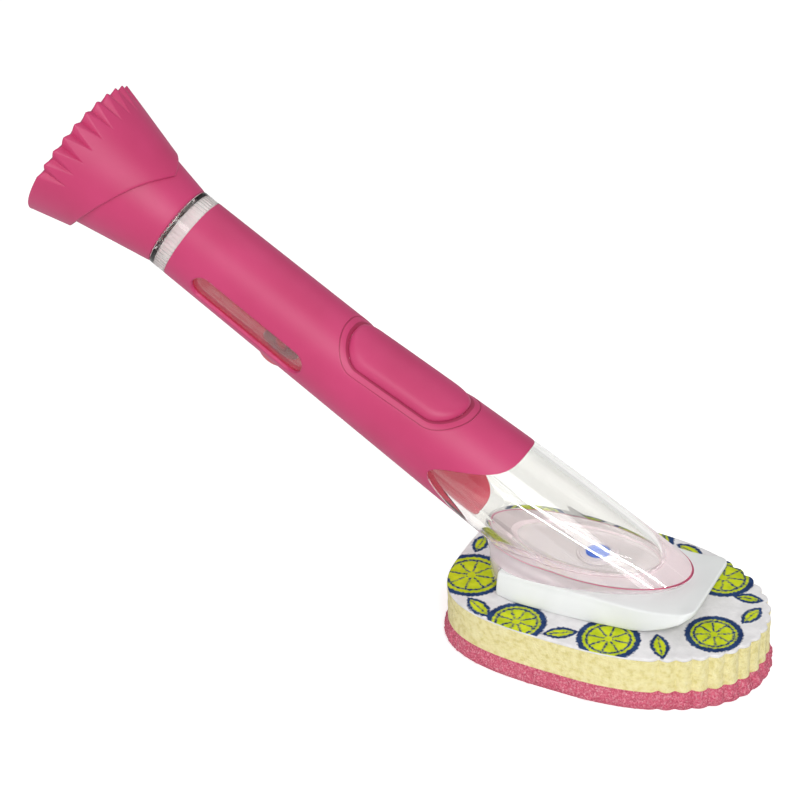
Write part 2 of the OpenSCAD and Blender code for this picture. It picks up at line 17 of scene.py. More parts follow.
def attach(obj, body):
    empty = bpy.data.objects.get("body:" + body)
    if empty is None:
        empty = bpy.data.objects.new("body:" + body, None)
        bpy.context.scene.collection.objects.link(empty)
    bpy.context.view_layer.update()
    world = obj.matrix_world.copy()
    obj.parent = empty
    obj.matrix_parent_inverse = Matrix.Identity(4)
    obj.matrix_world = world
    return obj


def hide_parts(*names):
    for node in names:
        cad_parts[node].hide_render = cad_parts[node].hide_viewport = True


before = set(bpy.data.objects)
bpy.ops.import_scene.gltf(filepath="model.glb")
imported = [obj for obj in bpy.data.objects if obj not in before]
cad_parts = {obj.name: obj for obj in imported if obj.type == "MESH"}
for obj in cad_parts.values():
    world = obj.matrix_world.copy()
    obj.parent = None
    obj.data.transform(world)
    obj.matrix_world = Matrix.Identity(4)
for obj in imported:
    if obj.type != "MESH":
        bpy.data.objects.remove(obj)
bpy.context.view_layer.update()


def add_object(name, data):
    """A new object of the scene."""
    made = bpy.data.objects.new(name, data)
    bpy.context.scene.collection.objects.link(made)
    return made


# Camera

def aim_camera():
    """The photograph's view, from a fit of the sponge, plate, tube and cap outlines."""
    azimuth, elevation, roll = (math.radians(v) for v in (28.11, 32.64, -2.40))
    flat = math.cos(elevation)
    back = Vector((math.sin(azimuth) * flat, -math.cos(azimuth) * flat, math.sin(elevation)))
    level = Vector((math.cos(azimuth), math.sin(azimuth), 0))
    upright = back.cross(level)
    right = math.cos(roll) * level + math.sin(roll) * upright
    above = -math.sin(roll) * level + math.cos(roll) * upright
    data = bpy.data.cameras.new("camera")
    data.sensor_width = 36
    data.lens = 106.89
    data.clip_start, data.clip_end = 0.05, 20
    camera = add_object("camera", data)
    turn = Matrix((right, above, back)).transposed().to_4x4()
    place = Vector((0.2455, -0.6090, 0.5190))
    camera.matrix_world = Matrix.Translation(place) @ turn
    bpy.context.scene.camera = camera


aim_camera()


# Sizes, in millimetres and degrees, as in the solids, but for the length of the pad's opening and
# of its groove's ends, which follow the photograph

SCOUR_T, CORE_T, PRINT_T = 7.0, 13.0, 1.2
HEAD_T = SCOUR_T + CORE_T + PRINT_T
ANGLE = math.radians(31.7)
CA, SA = math.cos(ANGLE), math.sin(ANGLE)
HANDLE_X = 6.1
GRIP_LOW, GRIP_TOP, SWELL, SWELL_LEN = 17.3, 15.4, 5.4, 120.0
SLEEVE_T, WALL = 1.2, 1.9
COLLAR_S, COLLAR_W, NECK_R, NECK_H, FILL_R = 193.9, 6.8, 11.6, 8.0, 9.4
COLLAR_TOP = COLLAR_S + COLLAR_W
NECK_TOP = COLLAR_TOP + NECK_H
PLATE_H, JOINT_H, FLOOR_T = 8.6, 4.4, 3.8
JOINT_Z, FLOOR_Z = PLATE_H + JOINT_H, PLATE_H + FLOOR_T
TONGUE_S, ARCH_RISE, ARCH_DROP = 56.7, 22.3, 1.0
WINDOW_S, WINDOW_LEN, WINDOW_W, WINDOW_DROP = 134.8, 48.4, 9.6, 2.1
PAD_S, OPEN_L, OPEN_W, MOAT_W, MOAT_END = 105.3, 54.4, 27.4, 2.7, 3.8
PAD_L, PAD_W = OPEN_L - 2 * MOAT_END, OPEN_W - 2 * MOAT_W
BAR_CORNER = 0.45               # Corners of the pad and of its opening, as a share of their width
VENT_S, VENT_R = 147.5, 7.3
CAP_S = COLLAR_TOP + 0.3
CAP_END = CAP_S + 44.3
SHELL_END = CAP_END - 2
SKIN_START, SKIN_RISE, SKIN_T, SKIN_FLARE, CAP_FLARE = 9.3, 21.5, 0.85, 0.265, 0.19
PLEATS, PLEAT_ANGLE = 13, 12.45
VALVE_X, VALVE_RING_R, VALVE_R = 5.4, 7.5, 5.3
FOOT_X, FOOT_FRONT, FOOT_BACK, FOOT_HALF_W, SKIRT_T = -24, 43.5, 20.5, 19.6, 2.2
PLATE_REAR = 34.6
RAIL_HALF_W, RAIL_NECK, RAIL_EDGE, RAIL_END = 14.0, 10.5, 0.3, 7.4
RAIL_UNDER, RAIL_FOOT, RAIL_ROOM = 2.3, 4.7, 0.2    # Depths below the plate's top, and room in the slot
MM = 0.001
CREASE = math.radians(38)       # Faces that meet at more than this keep a sharp edge


def cosd(a):
    """Cosine of degrees."""
    return np.cos(np.radians(a))


def sind(a):
    """Sine of degrees."""
    return np.sin(np.radians(a))


def ease(k):
    """Smooth step from 0 to 1: k*k*(3 - 2k)."""
    k = np.clip(k, 0, 1)
    return k * k * (3 - 2 * k)


# Mesh helpers

def settle(mesh, join=0.0):
    """Joins points nearer than a distance in metres, turns the faces outwards and smooths the mesh."""
    work = bmesh.new()
    work.from_mesh(mesh)
    if join:
        bmesh.ops.remove_doubles(work, verts=work.verts, dist=join)
    bmesh.ops.recalc_face_normals(work, faces=work.faces)
    work.to_mesh(mesh)
    work.free()
    mesh.polygons.foreach_set("use_smooth", [True] * len(mesh.polygons))
    mesh.set_sharp_from_angle(angle=CREASE)


def mesh_object(name, points, faces, body, slot, material, replaced=()):
    """An object at the origin from points in millimetres and faces, riding on a body."""
    mesh = bpy.data.meshes.new(name)
    mesh.from_pydata((np.asarray(points) * MM).tolist(), [], faces)
    mesh.validate()
    settle(mesh)
    piece = add_object(name, mesh)
    mesh.materials.append(material)
    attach(piece, body)
    if replaced:
        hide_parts(*replaced)
    return piece


def paint(piece, slots, *materials):
    """Gives a piece more materials, and each of its faces a material slot."""
    for material in materials:
        piece.data.materials.append(material)
    piece.data.polygons.foreach_set("material_index", slots)


def band_faces(rows, cols, around=True, along=False):
    """Quads of a grid of rows by cols points, closed round its columns and, if asked, along its rows."""
    r = np.arange(rows if along else rows - 1)
    c = np.arange(cols if around else cols - 1)
    r, c = np.meshgrid(r, c, indexing="ij")
    r2, c2 = (r + 1) % rows, (c + 1) % cols
    quads = np.stack([r * cols + c, r * cols + c2, r2 * cols + c2, r2 * cols + c], -1)
    return quads.reshape(-1, 4).tolist()


def fan_faces(centre, ring, cols):
    """Triangles from a centre point to a ring of cols points that starts at index ring."""
    i = np.arange(cols)
    return np.stack([np.full(cols, centre), ring + i, ring + (i + 1) % cols], -1).tolist()


def ring_stack(rows):
    """Points and faces of a closed solid: rings one above the other, with a fan over each end."""
    grid = np.array(rows)
    m, n = grid.shape[:2]
    points = np.vstack([grid.reshape(-1, 3), grid[0].mean(0), grid[-1].mean(0)])
    faces = band_faces(m, n) + fan_faces(m * n, 0, n) + fan_faces(m * n + 1, (m - 1) * n, n)
    return points, faces


def ring_loop(rows):
    """Points and faces of a closed wall: rings that go up outside, over and down inside."""
    grid = np.array(rows)
    m, n = grid.shape[:2]
    return grid.reshape(-1, 3), band_faces(m, n, along=True)


def noise3(p, seed=0):
    """Value noise from -1 to 1: hashed corners of a unit lattice, joined by smooth steps."""
    base = np.floor(p).astype(np.int64)
    f = p - base
    f = f * f * (3 - 2 * f)
    total = 0
    for corner in itertools.product((0, 1), repeat=3):
        cell = base + corner
        h = (cell[..., 0] * 73856093 ^ cell[..., 1] * 19349663 ^ cell[..., 2] * 83492791
             ^ (seed + 1) * 2654435) & 0x7fffffff
        h = (h ^ (h >> 13)) * 1274126177 & 0x7fffffff
        h = (h ^ (h >> 16)) & 0xffff
        total = total + np.where(corner, f, 1 - f).prod(-1) * (h / 32767.5 - 1)
    return total


# Handle surfaces

def handle_pt(n, y, s):
    """Row frame point of height n above the axis, sideways place y and distance s."""
    n, y, s = np.broadcast_arrays(np.asarray(n, float), y, s)
    return np.stack([HANDLE_X - s * CA + n * SA, y, HEAD_T + s * SA + n * CA], -1)


def grip_r(s, a):
    """Grip radius: a straight taper, plus a swell of the upper side that fades out along a sine."""
    k = np.clip(1 - s / SWELL_LEN, 0, None)
    return (GRIP_LOW + (GRIP_TOP - GRIP_LOW) * s / COLLAR_S
            + SWELL * np.sin(np.pi / 2 * np.minimum(1, k)) * np.maximum(0, cosd(a)))


def at(s, a, inset=0):
    """Point of the grip's surface moved in by an inset."""
    r = grip_r(s, a) - inset
    return handle_pt(r * cosd(a), r * sind(a), s)


def round_pt(s, a, r):
    """Point at radius r round the handle's axis."""
    return handle_pt(r * cosd(a), r * sind(a), s)


def level_s(a, level, inset):
    """Distance at which the surface, moved in by an inset, meets a level above the sponge."""
    s = np.full_like(a, 10.0)
    for _ in range(9):
        s = (level - (grip_r(s, a) - inset) * cosd(a) * CA) / SA
    return s


def arch_s(a):
    """Lower edge of the sleeve: a raised cosine of the height n on each side, between two tongues."""
    n = grip_r(TONGUE_S, a) * cosd(a)
    above, below = grip_r(TONGUE_S, 0.0) + ARCH_DROP, grip_r(TONGUE_S, 180.0) - ARCH_DROP
    share = np.abs(n + ARCH_DROP) / np.where(n + ARCH_DROP > 0, above, below)
    return TONGUE_S + ARCH_RISE * (1 + cosd(180 * np.minimum(1, share))) / 2


def pad_pt(x, y, inset):
    """Point over the pad's plan: x along the handle from the pad's middle, y sideways, on the grip's
    surface moved in by an inset. The angle is found from y / r in a few passes."""
    s = PAD_S + x
    a = np.degrees(np.arcsin(np.clip(y / 17.0, -1, 1)))
    for _ in range(6):
        a = np.degrees(np.arcsin(np.clip(y / (grip_r(s, a) - inset), -1, 1)))
    return at(s, a, inset)


def evenly(loop, count):
    """A closed 2-D line, whose last point repeats its first, as count points at an even spacing, with
    each point's way along it and the whole length."""
    way = np.concatenate([[0], np.cumsum(np.linalg.norm(np.diff(loop, axis=0), axis=1))])
    w = np.linspace(0, way[-1], count, endpoint=False)
    return np.stack([np.interp(w, way, loop[:, 0]), np.interp(w, way, loop[:, 1])], -1), w, way[-1]


def outward(loop, closed=True):
    """Unit directions square to a 2-D line, to the right of its way on."""
    ahead = np.roll(loop, -1, axis=0) - np.roll(loop, 1, axis=0) if closed else np.gradient(loop, axis=0)
    out = np.stack([ahead[:, 1], -ahead[:, 0]], -1)
    return out / np.linalg.norm(out, axis=1)[:, None]


def bar_outline(length, width, corner, count):
    """Outline of a rounded bar, evenly spread: four quarter circles joined by straight sides."""
    quarter = np.radians(np.linspace(0, 90, 40))
    loop = []
    for sx, sy, turn in ((1, 1, 0), (-1, 1, 90), (-1, -1, 180), (1, -1, 270)):
        t = quarter + math.radians(turn)
        loop.append(np.stack([sx * (length / 2 - corner) + corner * np.cos(t),
                              sy * (width / 2 - corner) + corner * np.sin(t)], -1))
    return evenly(np.vstack(loop + [loop[0][:1]]), count)[0]


# Materials

def linear(code):
    """sRGB hex to linear colour."""
    c = np.array([int(code[i:i + 2], 16) / 255 for i in (1, 3, 5)])
    c = np.where(c <= 0.04045, c / 12.92, ((c + 0.055) / 1.055) ** 2.4)
    return (*c.tolist(), 1.0)


def node(tree, kind, inputs=None, **settings):
    """Adds a node with its settings. An input takes a value, or (node, output) for a link."""
    made = tree.nodes.new(kind)
    for key, value in settings.items():
        setattr(made, key, value)
    for key, value in (inputs or {}).items():
        if isinstance(value, tuple) and len(value) == 2 and isinstance(value[0], bpy.types.Node):
            tree.links.new(value[0].outputs[value[1]], made.inputs[key])
        else:
            made.inputs[key].default_value = value
    return made


def new_material(name, settings):
    """A material: its node tree, a Principled shader with settings on its own sockets, and the output."""
    made = bpy.data.materials.new(name)
    made.use_nodes = True
    tree = made.node_tree
    tree.nodes.clear()
    shader = node(tree, "ShaderNodeBsdfPrincipled", settings)
    end = node(tree, "ShaderNodeOutputMaterial", {0: (shader, 0)})
    return made, tree, shader, end


def noise(tree, scale, detail, **more):
    """Noise in the object's own space, at a scale per metre."""
    place = node(tree, "ShaderNodeTexCoord")
    return node(tree, "ShaderNodeTexNoise",
                {"Vector": (place, "Object"), "Scale": scale, "Detail": detail, **more})


def maths(tree, operation, one, two):
    """A sum, product or the like of two values."""
    return node(tree, "ShaderNodeMath", {0: one, 1: two}, operation=operation)


def blend(tree, share, under, over):
    """One colour laid over another by a share."""
    return node(tree, "ShaderNodeMixRGB", {"Fac": share, "Color1": under, "Color2": over})


def ramp(tree, fac, *stops):
    """A colour ramp from (place, sRGB hex) stops."""
    made = node(tree, "ShaderNodeValToRGB", {"Fac": fac})
    points = made.color_ramp.elements
    for point, (place, code) in zip((points[0], points[1]), (stops[0], stops[-1])):
        point.position, point.color = place, linear(code)
    for place, code in stops[1:-1]:
        points.new(place).color = linear(code)
    return made


def dress(made, shader, colour, height, strength, distance):
    """Gives a material's shader a colour, and a bump of a height over a distance in metres."""
    links = made.node_tree.links
    bump = node(made.node_tree, "ShaderNodeBump",
                {"Height": height, "Strength": strength, "Distance": distance})
    links.new(colour.outputs["Color"], shader.inputs["Base Color"])
    links.new(bump.outputs["Normal"], shader.inputs["Normal"])
    return made


def soft_touch_rubber(name, base, deep, glow=0.0):
    """Soft-touch TPE, moulded with a fine sparkled tool: even colour, a broad dull shine and a skin
    grain of about 0.25 mm, drawn at 0.6 mm so that it shows at all. A glow strength above 0 paints a
    crimson glow by emission; on the sleeve's inside it stands for light that comes through 1.2 mm of rubber."""
    made, tree, shader, _ = new_material(name, {
        "Roughness": 0.46, "IOR": 1.45, "Sheen Weight": 0.12, "Sheen Roughness": 0.5,
        "Sheen Tint": linear("#ffb6dc"), "Emission Color": linear("#c82c48"), "Emission Strength": glow})
    cloud, grain = noise(tree, 45.0, 2.0), noise(tree, 1600.0, 3.0)
    colour = ramp(tree, (cloud, "Fac"), (0.35, deep), (0.65, base))
    return dress(made, shader, colour, (grain, "Fac"), 0.12, 0.0001)


def clear_plastic(name, tint, roughness=0.0, ior=1.49, coat=0.0, clear=1.0):
    """Clear SAN, injection moulded and polished: it bends light like real thick plastic, with bright
    edges and dark lines. Light that makes shadows goes straight through. Ribs, the weld face and the
    thick base are less clear, because many folds of light give them a pale body."""
    made, tree, shader, end = new_material(name, {
        "Base Color": linear(tint), "Roughness": roughness, "IOR": ior, "Coat Weight": coat,
        "Coat Roughness": 0.0, "Transmission Weight": clear})
    path = node(tree, "ShaderNodeLightPath")
    through = node(tree, "ShaderNodeBsdfTransparent", {"Color": linear("#f2f4f4")})
    mix = node(tree, "ShaderNodeMixShader", {0: (path, "Is Shadow Ray"), 1: (shader, 0), 2: (through, 0)})
    tree.links.new(mix.outputs[0], end.inputs[0])
    return made


def silicone(name, base, shade, weight, radius):
    """Moulded silicone: satin, and light sinks about a millimetre into it."""
    made, tree, shader, _ = new_material(name, {
        "Roughness": 0.35, "Subsurface Weight": weight, "Subsurface Radius": radius,
        "Subsurface Scale": 0.001})
    grain = noise(tree, 900.0, 2.0)
    tone = ramp(tree, (grain, "Fac"), (0.3, base), (0.8, shade))
    return dress(made, shader, tone, (grain, "Fac"), 0.08, 0.0001)


def plate_plastic():
    """Moulded polypropylene, white with a satin tool finish: soft highlights and faint flow marks."""
    made, tree, shader, _ = new_material("plate_polypropylene_white", {
        "Roughness": 0.38, "Subsurface Weight": 0.15, "Subsurface Radius": (1.0, 1.0, 1.0),
        "Subsurface Scale": 0.0012})
    flow, skin = noise(tree, 60.0, 3.0, Distortion=0.6), noise(tree, 1300.0, 2.0)
    tone = ramp(tree, (flow, "Fac"), (0.3, "#e4e6e5"), (0.7, "#ebedec"))
    return dress(made, shader, tone, (skin, "Fac"), 0.06, 0.0001)


def foam_yellow():
    """Polyester foam, cut: matt pale yellow with pores of about 0.6 mm and faint darker patches."""
    made, tree, shader, _ = new_material("polyester_foam_yellow", {
        "Roughness": 0.95, "Specular IOR Level": 0.15, "Sheen Weight": 0.15})
    place = node(tree, "ShaderNodeTexCoord")
    pores = node(tree, "ShaderNodeTexVoronoi", {"Vector": (place, "Object"), "Scale": 1500.0})
    cloud = noise(tree, 500.0, 4.0)
    colour = ramp(tree, (cloud, "Fac"), (0.3, "#dcd08a"), (0.5, "#ece2a6"), (0.72, "#f3ebb8"))
    both = maths(tree, "ADD", (pores, "Distance"), (cloud, "Fac"))
    return dress(made, shader, colour, (both, 0), 0.55, 0.0005)


def foam_pink():
    """Abrasive polyurethane foam, rose pink: coarse open cells of about 1 mm with wiry struts. Its colour
    paints
    highlight and shade: pale pink on the struts and deep rose in the hollows, on the noise that raises the
    struts."""
    made, tree, shader, _ = new_material("abrasive_foam_pink", {
        "Roughness": 0.8, "Specular IOR Level": 0.35})
    place = node(tree, "ShaderNodeTexCoord")
    warp, specks = noise(tree, 900.0, 2.0), noise(tree, 1500.0, 5.0, Roughness=0.7)
    shift = blend(tree, 0.0012, (place, "Object"), (warp, "Color"))
    shift.blend_type = "ADD"
    cells = node(tree, "ShaderNodeTexVoronoi", {"Vector": (shift, "Color"), "Scale": 950.0})
    height = maths(tree, "MULTIPLY", (cells, "Distance"), (specks, "Fac"))
    # Painted highlight and shade: pale pink specks where the struts stand up, deep rose in the hollows
    # between them
    colour = ramp(tree, (specks, "Fac"),
                  (0.33, "#b9425f"), (0.48, "#d4607a"), (0.58, "#e08597"), (0.70, "#f2bcc4"))
    return dress(made, shader, colour, (height, 0), 0.9, 0.0009)


def printed_sponge():
    """Cellulose sponge cloth with a dye print: a matt, faintly pitted white ground, a yellow-green fill
    and a navy line that bleeds a little at its edges. The attributes fill and line hold, in
    millimetres, how far a point lies inside the fill and from the middle of the nearest line."""
    made, tree, shader, _ = new_material("printed_sponge_cloth", {
        "Roughness": 0.92, "Specular IOR Level": 0.2})
    fill = node(tree, "ShaderNodeAttribute", attribute_name="fill")
    line = node(tree, "ShaderNodeAttribute", attribute_name="line")
    bleed, wide, pits = noise(tree, 900.0, 4.0), noise(tree, 260.0, 3.0), noise(tree, 1200.0, 3.0)
    ground = ramp(tree, (wide, "Fac"), (0.3, "#dcdadb"), (0.7, "#ebe9ea"))
    green = ramp(tree, (wide, "Fac"), (0.3, "#b3c41c"), (0.65, "#d2dc2a"))
    navy = ramp(tree, (wide, "Fac"), (0.3, "#1c2f5c"), (0.7, "#2c4878"))
    rough = maths(tree, "SUBTRACT", (bleed, "Fac"), 0.5)
    ragged = maths(tree, "MULTIPLY", (rough, 0), 1.7)
    in_fill = maths(tree, "ADD", (fill, "Fac"), (ragged, 0))
    fill_on = node(tree, "ShaderNodeMapRange", {"Value": (in_fill, 0), "From Min": -0.1, "From Max": 0.35})
    off_line = maths(tree, "ADD", (line, "Fac"), (ragged, 0))
    line_on = node(tree, "ShaderNodeMapRange", {"Value": (off_line, 0), "From Min": 0.85, "From Max": 0.3})
    filled = blend(tree, (fill_on, 0), (ground, "Color"), (green, "Color"))
    drawn = blend(tree, (line_on, 0), (filled, "Color"), (navy, "Color"))
    return dress(made, shader, drawn, (pits, "Fac"), 0.3, 0.0003)


GRIP_PINK = soft_touch_rubber("soft_touch_tpe_pink", "#c53a6d", "#bf3667")
# Painted shade for the moat round the pad: a deeper pink where less light gets in
MOAT_PAINTED_SHADE = soft_touch_rubber("soft_touch_tpe_painted_shade", "#a3264f", "#992049")
# Painted glow: the sleeve's inside emits crimson light, standing in for light that comes through the rubber
INSIDE_PAINTED_GLOW = soft_touch_rubber("tpe_inside_painted_glow", "#98283f", "#8c2038", glow=0.75)
CLEAR = clear_plastic("clear_san", "#eeeeeb")
# Painted reflection: the pink tints of the thick base and the weld face stand for the sleeve's pink reflected
# in the clear plastic, which has no pink of its own
CLEAR_BASE = clear_plastic("clear_san_thick_painted_pink", "#ece2e4", ior=1.3, coat=0.6, clear=0.58)
FROSTED = clear_plastic("san_tool_texture", "#f3eff0", 0.45, ior=1.3)
RIBBED = clear_plastic("san_collar_ribs", "#f0ebeb", 0.5, ior=1.3, clear=0.45)
WELD_FACE = clear_plastic("san_weld_face_painted_pink", "#e4d5d9", 0.4, ior=1.3, clear=0.3)
SEAM = clear_plastic("crimson_join_bead", "#c83a66", 0.3)
VALVE_BLUE = silicone("valve_silicone_blue", "#2e5bb8", "#2c58b2", 0.2, (0.3, 0.5, 1.0))
VENT_SALMON = silicone("vent_silicone_salmon", "#d9717c", "#d26d78", 0.4, (1.0, 0.5, 0.4))
SEAL_WHITE = silicone("seal_foamed_pe_white", "#ecebe7", "#e5e4e0", 0.1, (1.0, 1.0, 1.0))
PLATE_WHITE = plate_plastic()
FOAM_YELLOW = foam_yellow()
FOAM_PINK = foam_pink()
PRINTED = printed_sponge()


# Clear tube and its base

TUBE_COLS = 216
TUBE_A = np.arange(TUBE_COLS) * 360.0 / TUBE_COLS
TUBE_INSET = SLEEVE_T + WALL
FILLET = 5.5
WELD_GAP = 0.06
MID_S = 130.0                   # Above this the tube's rings are square to the handle's axis
RIBBED_SLOT, WELD_SLOT = 1, 2   # Material slots of the tube, after the clear one


def bore_ring(height):
    """Ring of the soap space at a height above its floor: the bore, drawn in by a round of FILLET."""
    level = FLOOR_Z + height
    draw = FILLET - math.sqrt(FILLET ** 2 - max(0.0, FILLET - height) ** 2) if height < FILLET else 0.0
    return at(level_s(TUBE_A, level, TUBE_INSET + draw), TUBE_A, TUBE_INSET + draw)


def tube_wall():
    """The tube goes up outside from the weld to the sleeve's edge, steps in under the sleeve, goes over
    the collar and neck, and comes down the bore to the round at the floor. Gives points, faces and the
    material slot of each face: the collar's inside is ribbed."""
    a = TUBE_A
    low, arch = level_s(a, JOINT_Z + WELD_GAP, 0), arch_s(a)
    rows = [at(low + (arch - 0.05 - low) * k, a) for k in np.linspace(0, 1, 14)]
    rows += [at(arch, a, 0.1), at(arch, a, SLEEVE_T - 0.1), at(arch + 0.1, a, SLEEVE_T)]
    rows += [at(arch + (MID_S - arch) * k, a, SLEEVE_T) for k in np.linspace(0.08, 1, 14)]
    rows += [at(np.full_like(a, s), a, SLEEVE_T) for s in (160, COLLAR_S - 0.1)]
    profile = [(COLLAR_S, GRIP_TOP - SLEEVE_T + 0.1), (COLLAR_S, GRIP_TOP - 0.35),
               (COLLAR_S + 0.3, GRIP_TOP - 0.05), (COLLAR_TOP - 0.3, GRIP_TOP - 0.05),
               (COLLAR_TOP, GRIP_TOP - 0.35), (COLLAR_TOP, NECK_R + 0.4), (COLLAR_TOP + 0.4, NECK_R),
               (NECK_TOP - 0.4, NECK_R), (NECK_TOP, NECK_R - 0.4), (NECK_TOP, FILL_R + 0.4),
               (NECK_TOP - 0.4, FILL_R), (COLLAR_TOP + 0.5, FILL_R)]
    rows += [round_pt(s, a, r) for s, r in profile]
    ribs = FILL_R + 2.3 - 0.35 * np.abs(cosd(24 * a))
    first = len(rows)
    rows += [round_pt(COLLAR_TOP - 1.2, a, FILL_R + 1.6), round_pt(COLLAR_TOP - 2.0, a, ribs),
             round_pt(COLLAR_S + 0.6, a, ribs), round_pt(COLLAR_S - 0.6, a, GRIP_TOP - TUBE_INSET)]
    rows += [at(np.full_like(a, s), a, TUBE_INSET) for s in (185, 160)]
    top, foot = np.full_like(a, MID_S), level_s(a, FLOOR_Z + FILLET, TUBE_INSET)
    rows += [at(top + (foot - top) * k, a, TUBE_INSET) for k in np.linspace(0, 1, 18)]
    rows += [bore_ring(h) for h in (4.4, 3.4, 2.5, 1.8, 1.2, JOINT_Z + WELD_GAP - FLOOR_Z)]
    points, faces = ring_loop(rows)
    slots = [RIBBED_SLOT if first <= i // TUBE_COLS < first + 3 else 0 for i in range(len(faces))]
    return points, faces, slots


def foot_ring(inset, z):
    """Oval of the base's foot: half ellipses before and behind its widest place."""
    c = cosd(TUBE_A)
    reach = np.where(c > 0, FOOT_FRONT - inset, FOOT_BACK - inset)
    y = (FOOT_HALF_W - inset) * sind(TUBE_A)
    return np.stack([FOOT_X + reach * c, y, np.full_like(c, HEAD_T + z)], -1)


def base_solid():
    """The base: its floor under the rounded soap space, the weld face, the flare down to the oval foot
    along a quarter sine, and the flat underside on the plate."""
    joint = at(level_s(TUBE_A, JOINT_Z, 0), TUBE_A)
    inner = [bore_ring(h) for h in (0.0, 0.02, 0.08, 0.2, 0.38, JOINT_Z - FLOOR_Z)]
    centre = inner[0].mean(0)
    rows = [centre + (inner[0] - centre) * [k, k, 1] for k in (0.3, 0.6, 0.85)] + inner
    rows.append(joint - (joint - inner[-1]) * 0.02)
    low = foot_ring(0, PLATE_H + 0.35)
    for q in np.linspace(90, 0, 12):
        k = sind(q)
        ring = low * (1 - k) + joint * k
        ring[:, 2] = HEAD_T + PLATE_H + 0.35 + (JOINT_H - 0.4) * (1 - cosd(q))
        rows.append(ring)
    rows += [foot_ring(0.12, PLATE_H + 0.1), foot_ring(0.4, PLATE_H + 0.03), foot_ring(6, PLATE_H + 0.03)]
    return ring_stack(rows)


def seam_ring():
    """A crimson bead round the join of tube and base, half sunk in the wall, 0.4 mm high."""
    middle = JOINT_Z + WELD_GAP / 2
    profile = ((-0.2, 0.0), (-0.12, -0.08), (0.12, -0.08), (0.2, 0.0), (0.12, 0.12), (-0.12, 0.12))
    return ring_loop([at(level_s(TUBE_A, middle + z, inset), TUBE_A, inset) for z, inset in profile])


def skirt_solid():
    """The wall that drops behind the plate: the rear of the foot's oval, 2.2 mm thick, with rounded
    edges."""
    t = np.linspace(124.0, 236.0, 90)
    profile = ((0.3, PLATE_H - 0.05), (0.0, PLATE_H - 0.5), (0.0, 1.1), (0.35, 0.6), (0.9, 0.5), (1.5, 0.5),
               (2.0, 0.7), (SKIRT_T, 1.2), (SKIRT_T, PLATE_H - 0.4), (1.9, PLATE_H - 0.05))
    grid = np.array([np.stack([FOOT_X + (FOOT_BACK - inset) * cosd(t), (FOOT_HALF_W - inset) * sind(t),
                               np.full_like(t, HEAD_T + z)], -1) for inset, z in profile])
    m, n = grid.shape[:2]
    faces = band_faces(m, n, around=False, along=True)
    faces += [[i * n for i in range(m)], [i * n + n - 1 for i in range(m)]]
    return grid.reshape(-1, 3), faces


def rail_solid():
    """The slide rail under the base: a T profile, drawn along x, with its edges rounded by 0.3 mm."""
    top, under, foot = PLATE_H - 0.02, PLATE_H - RAIL_UNDER, PLATE_H - RAIL_FOOT
    wide, neck, e = RAIL_HALF_W, RAIL_NECK, RAIL_EDGE
    half = [(0.0, foot), (wide - e, foot), (wide, foot + e), (wide, under - e), (wide - e, under),
            (neck + e, under), (neck, under + e), (neck, top), (0.0, top)]
    y, z = np.array(half + [(-y, z) for y, z in half[-2:0:-1]]).T
    ends = ((-PLATE_REAR, 0.97), (e - PLATE_REAR, 1.0), (RAIL_END - e, 1.0), (RAIL_END, 0.97))
    return ring_stack([np.stack([np.full_like(y, x), y * k, HEAD_T + z], -1) for x, k in ends])


def revolved(profile, centre):
    """Rings of a profile of (radius, height) turned round z; a radius near 0 closes it."""
    a = np.arange(96) * 3.75
    x, y, z = centre
    return [np.stack([x + r * cosd(a), y + r * sind(a), np.full_like(a, z + h)], -1) for r, h in profile]


def build_tube():
    """The soap tube, with ribs in its collar and a duller weld face at its lower end."""
    points, faces, slots = tube_wall()
    tube = mesh_object("clear_tube", points, faces, "handle", "clear_plastic", CLEAR, ["reservoir"])
    centres = np.empty(3 * len(faces))
    tube.data.polygons.foreach_get("center", centres)
    ends = centres[2::3] < (HEAD_T + JOINT_Z + 0.4) * MM
    paint(tube, np.where(ends, WELD_SLOT, slots), RIBBED, WELD_FACE)


def build_base():
    """The base with its skirt and rail, and the crimson bead at the join above it."""
    mesh_object("clear_base", *base_solid(), "handle", "clear_plastic", CLEAR_BASE, ["tube_base"])
    mesh_object("rear_skirt", *skirt_solid(), "handle", "clear_plastic", CLEAR_BASE)
    mesh_object("slide_rail", *rail_solid(), "handle", "clear_plastic", FROSTED)
    mesh_object("join_bead", *seam_ring(), "handle", "clear_plastic", SEAM)


def build_valve():
    """The collar that holds the valve on the base's floor, and the valve's low dish in it."""
    centre, hold, r = (-VALVE_X, 0, HEAD_T + FLOOR_Z), VALVE_RING_R, VALVE_R
    ring = [(r + 0.1, 0.02), (hold, 0.02), (hold, 0.4), (hold - 0.3, 0.7), (hold - 0.9, 0.7),
            (hold - 1.1, 1.0), (r - 0.2, 1.1), (r - 0.9, 1.1), (r - 1.1, 0.9), (r - 1.0, 0.6),
            (r + 0.1, 0.55)]
    mesh_object("valve_collar", *ring_loop(revolved(ring, centre)), "handle", "clear_plastic", CLEAR_BASE,
                ["valve_ring"])
    dish = [(0.05, 0.03), (3.6, 0.03), (r, 0.03), (r, 0.35), (r - 0.25, 0.5), (r - 1.4, 0.5),
            (r - 1.6, 0.85), (r - 2.0, 1.0), (r - 2.4, 0.9), (1.9, 0.6), (0.9, 0.4), (0.05, 0.35)]
    mesh_object("slit_valve", *ring_stack(revolved(dish, centre)), "handle", "valve_rubber", VALVE_BLUE,
                ["soap_valve"])


build_tube()
build_base()
build_valve()


# Soft grip

def loop_distance(points, loops):
    """Distance from each 2-D point to the nearest of some closed polylines, as whole arrays."""
    best = np.full(len(points), 1e9)
    for loop in loops:
        p, q = loop, np.roll(loop, -1, axis=0)
        d = q - p
        k = np.clip(((points[:, None] - p) * d).sum(-1) / (d * d).sum(-1), 0, 1)
        best = np.minimum(best, np.linalg.norm(points[:, None] - (p + d * k[..., None]), axis=-1).min(1))
    return best


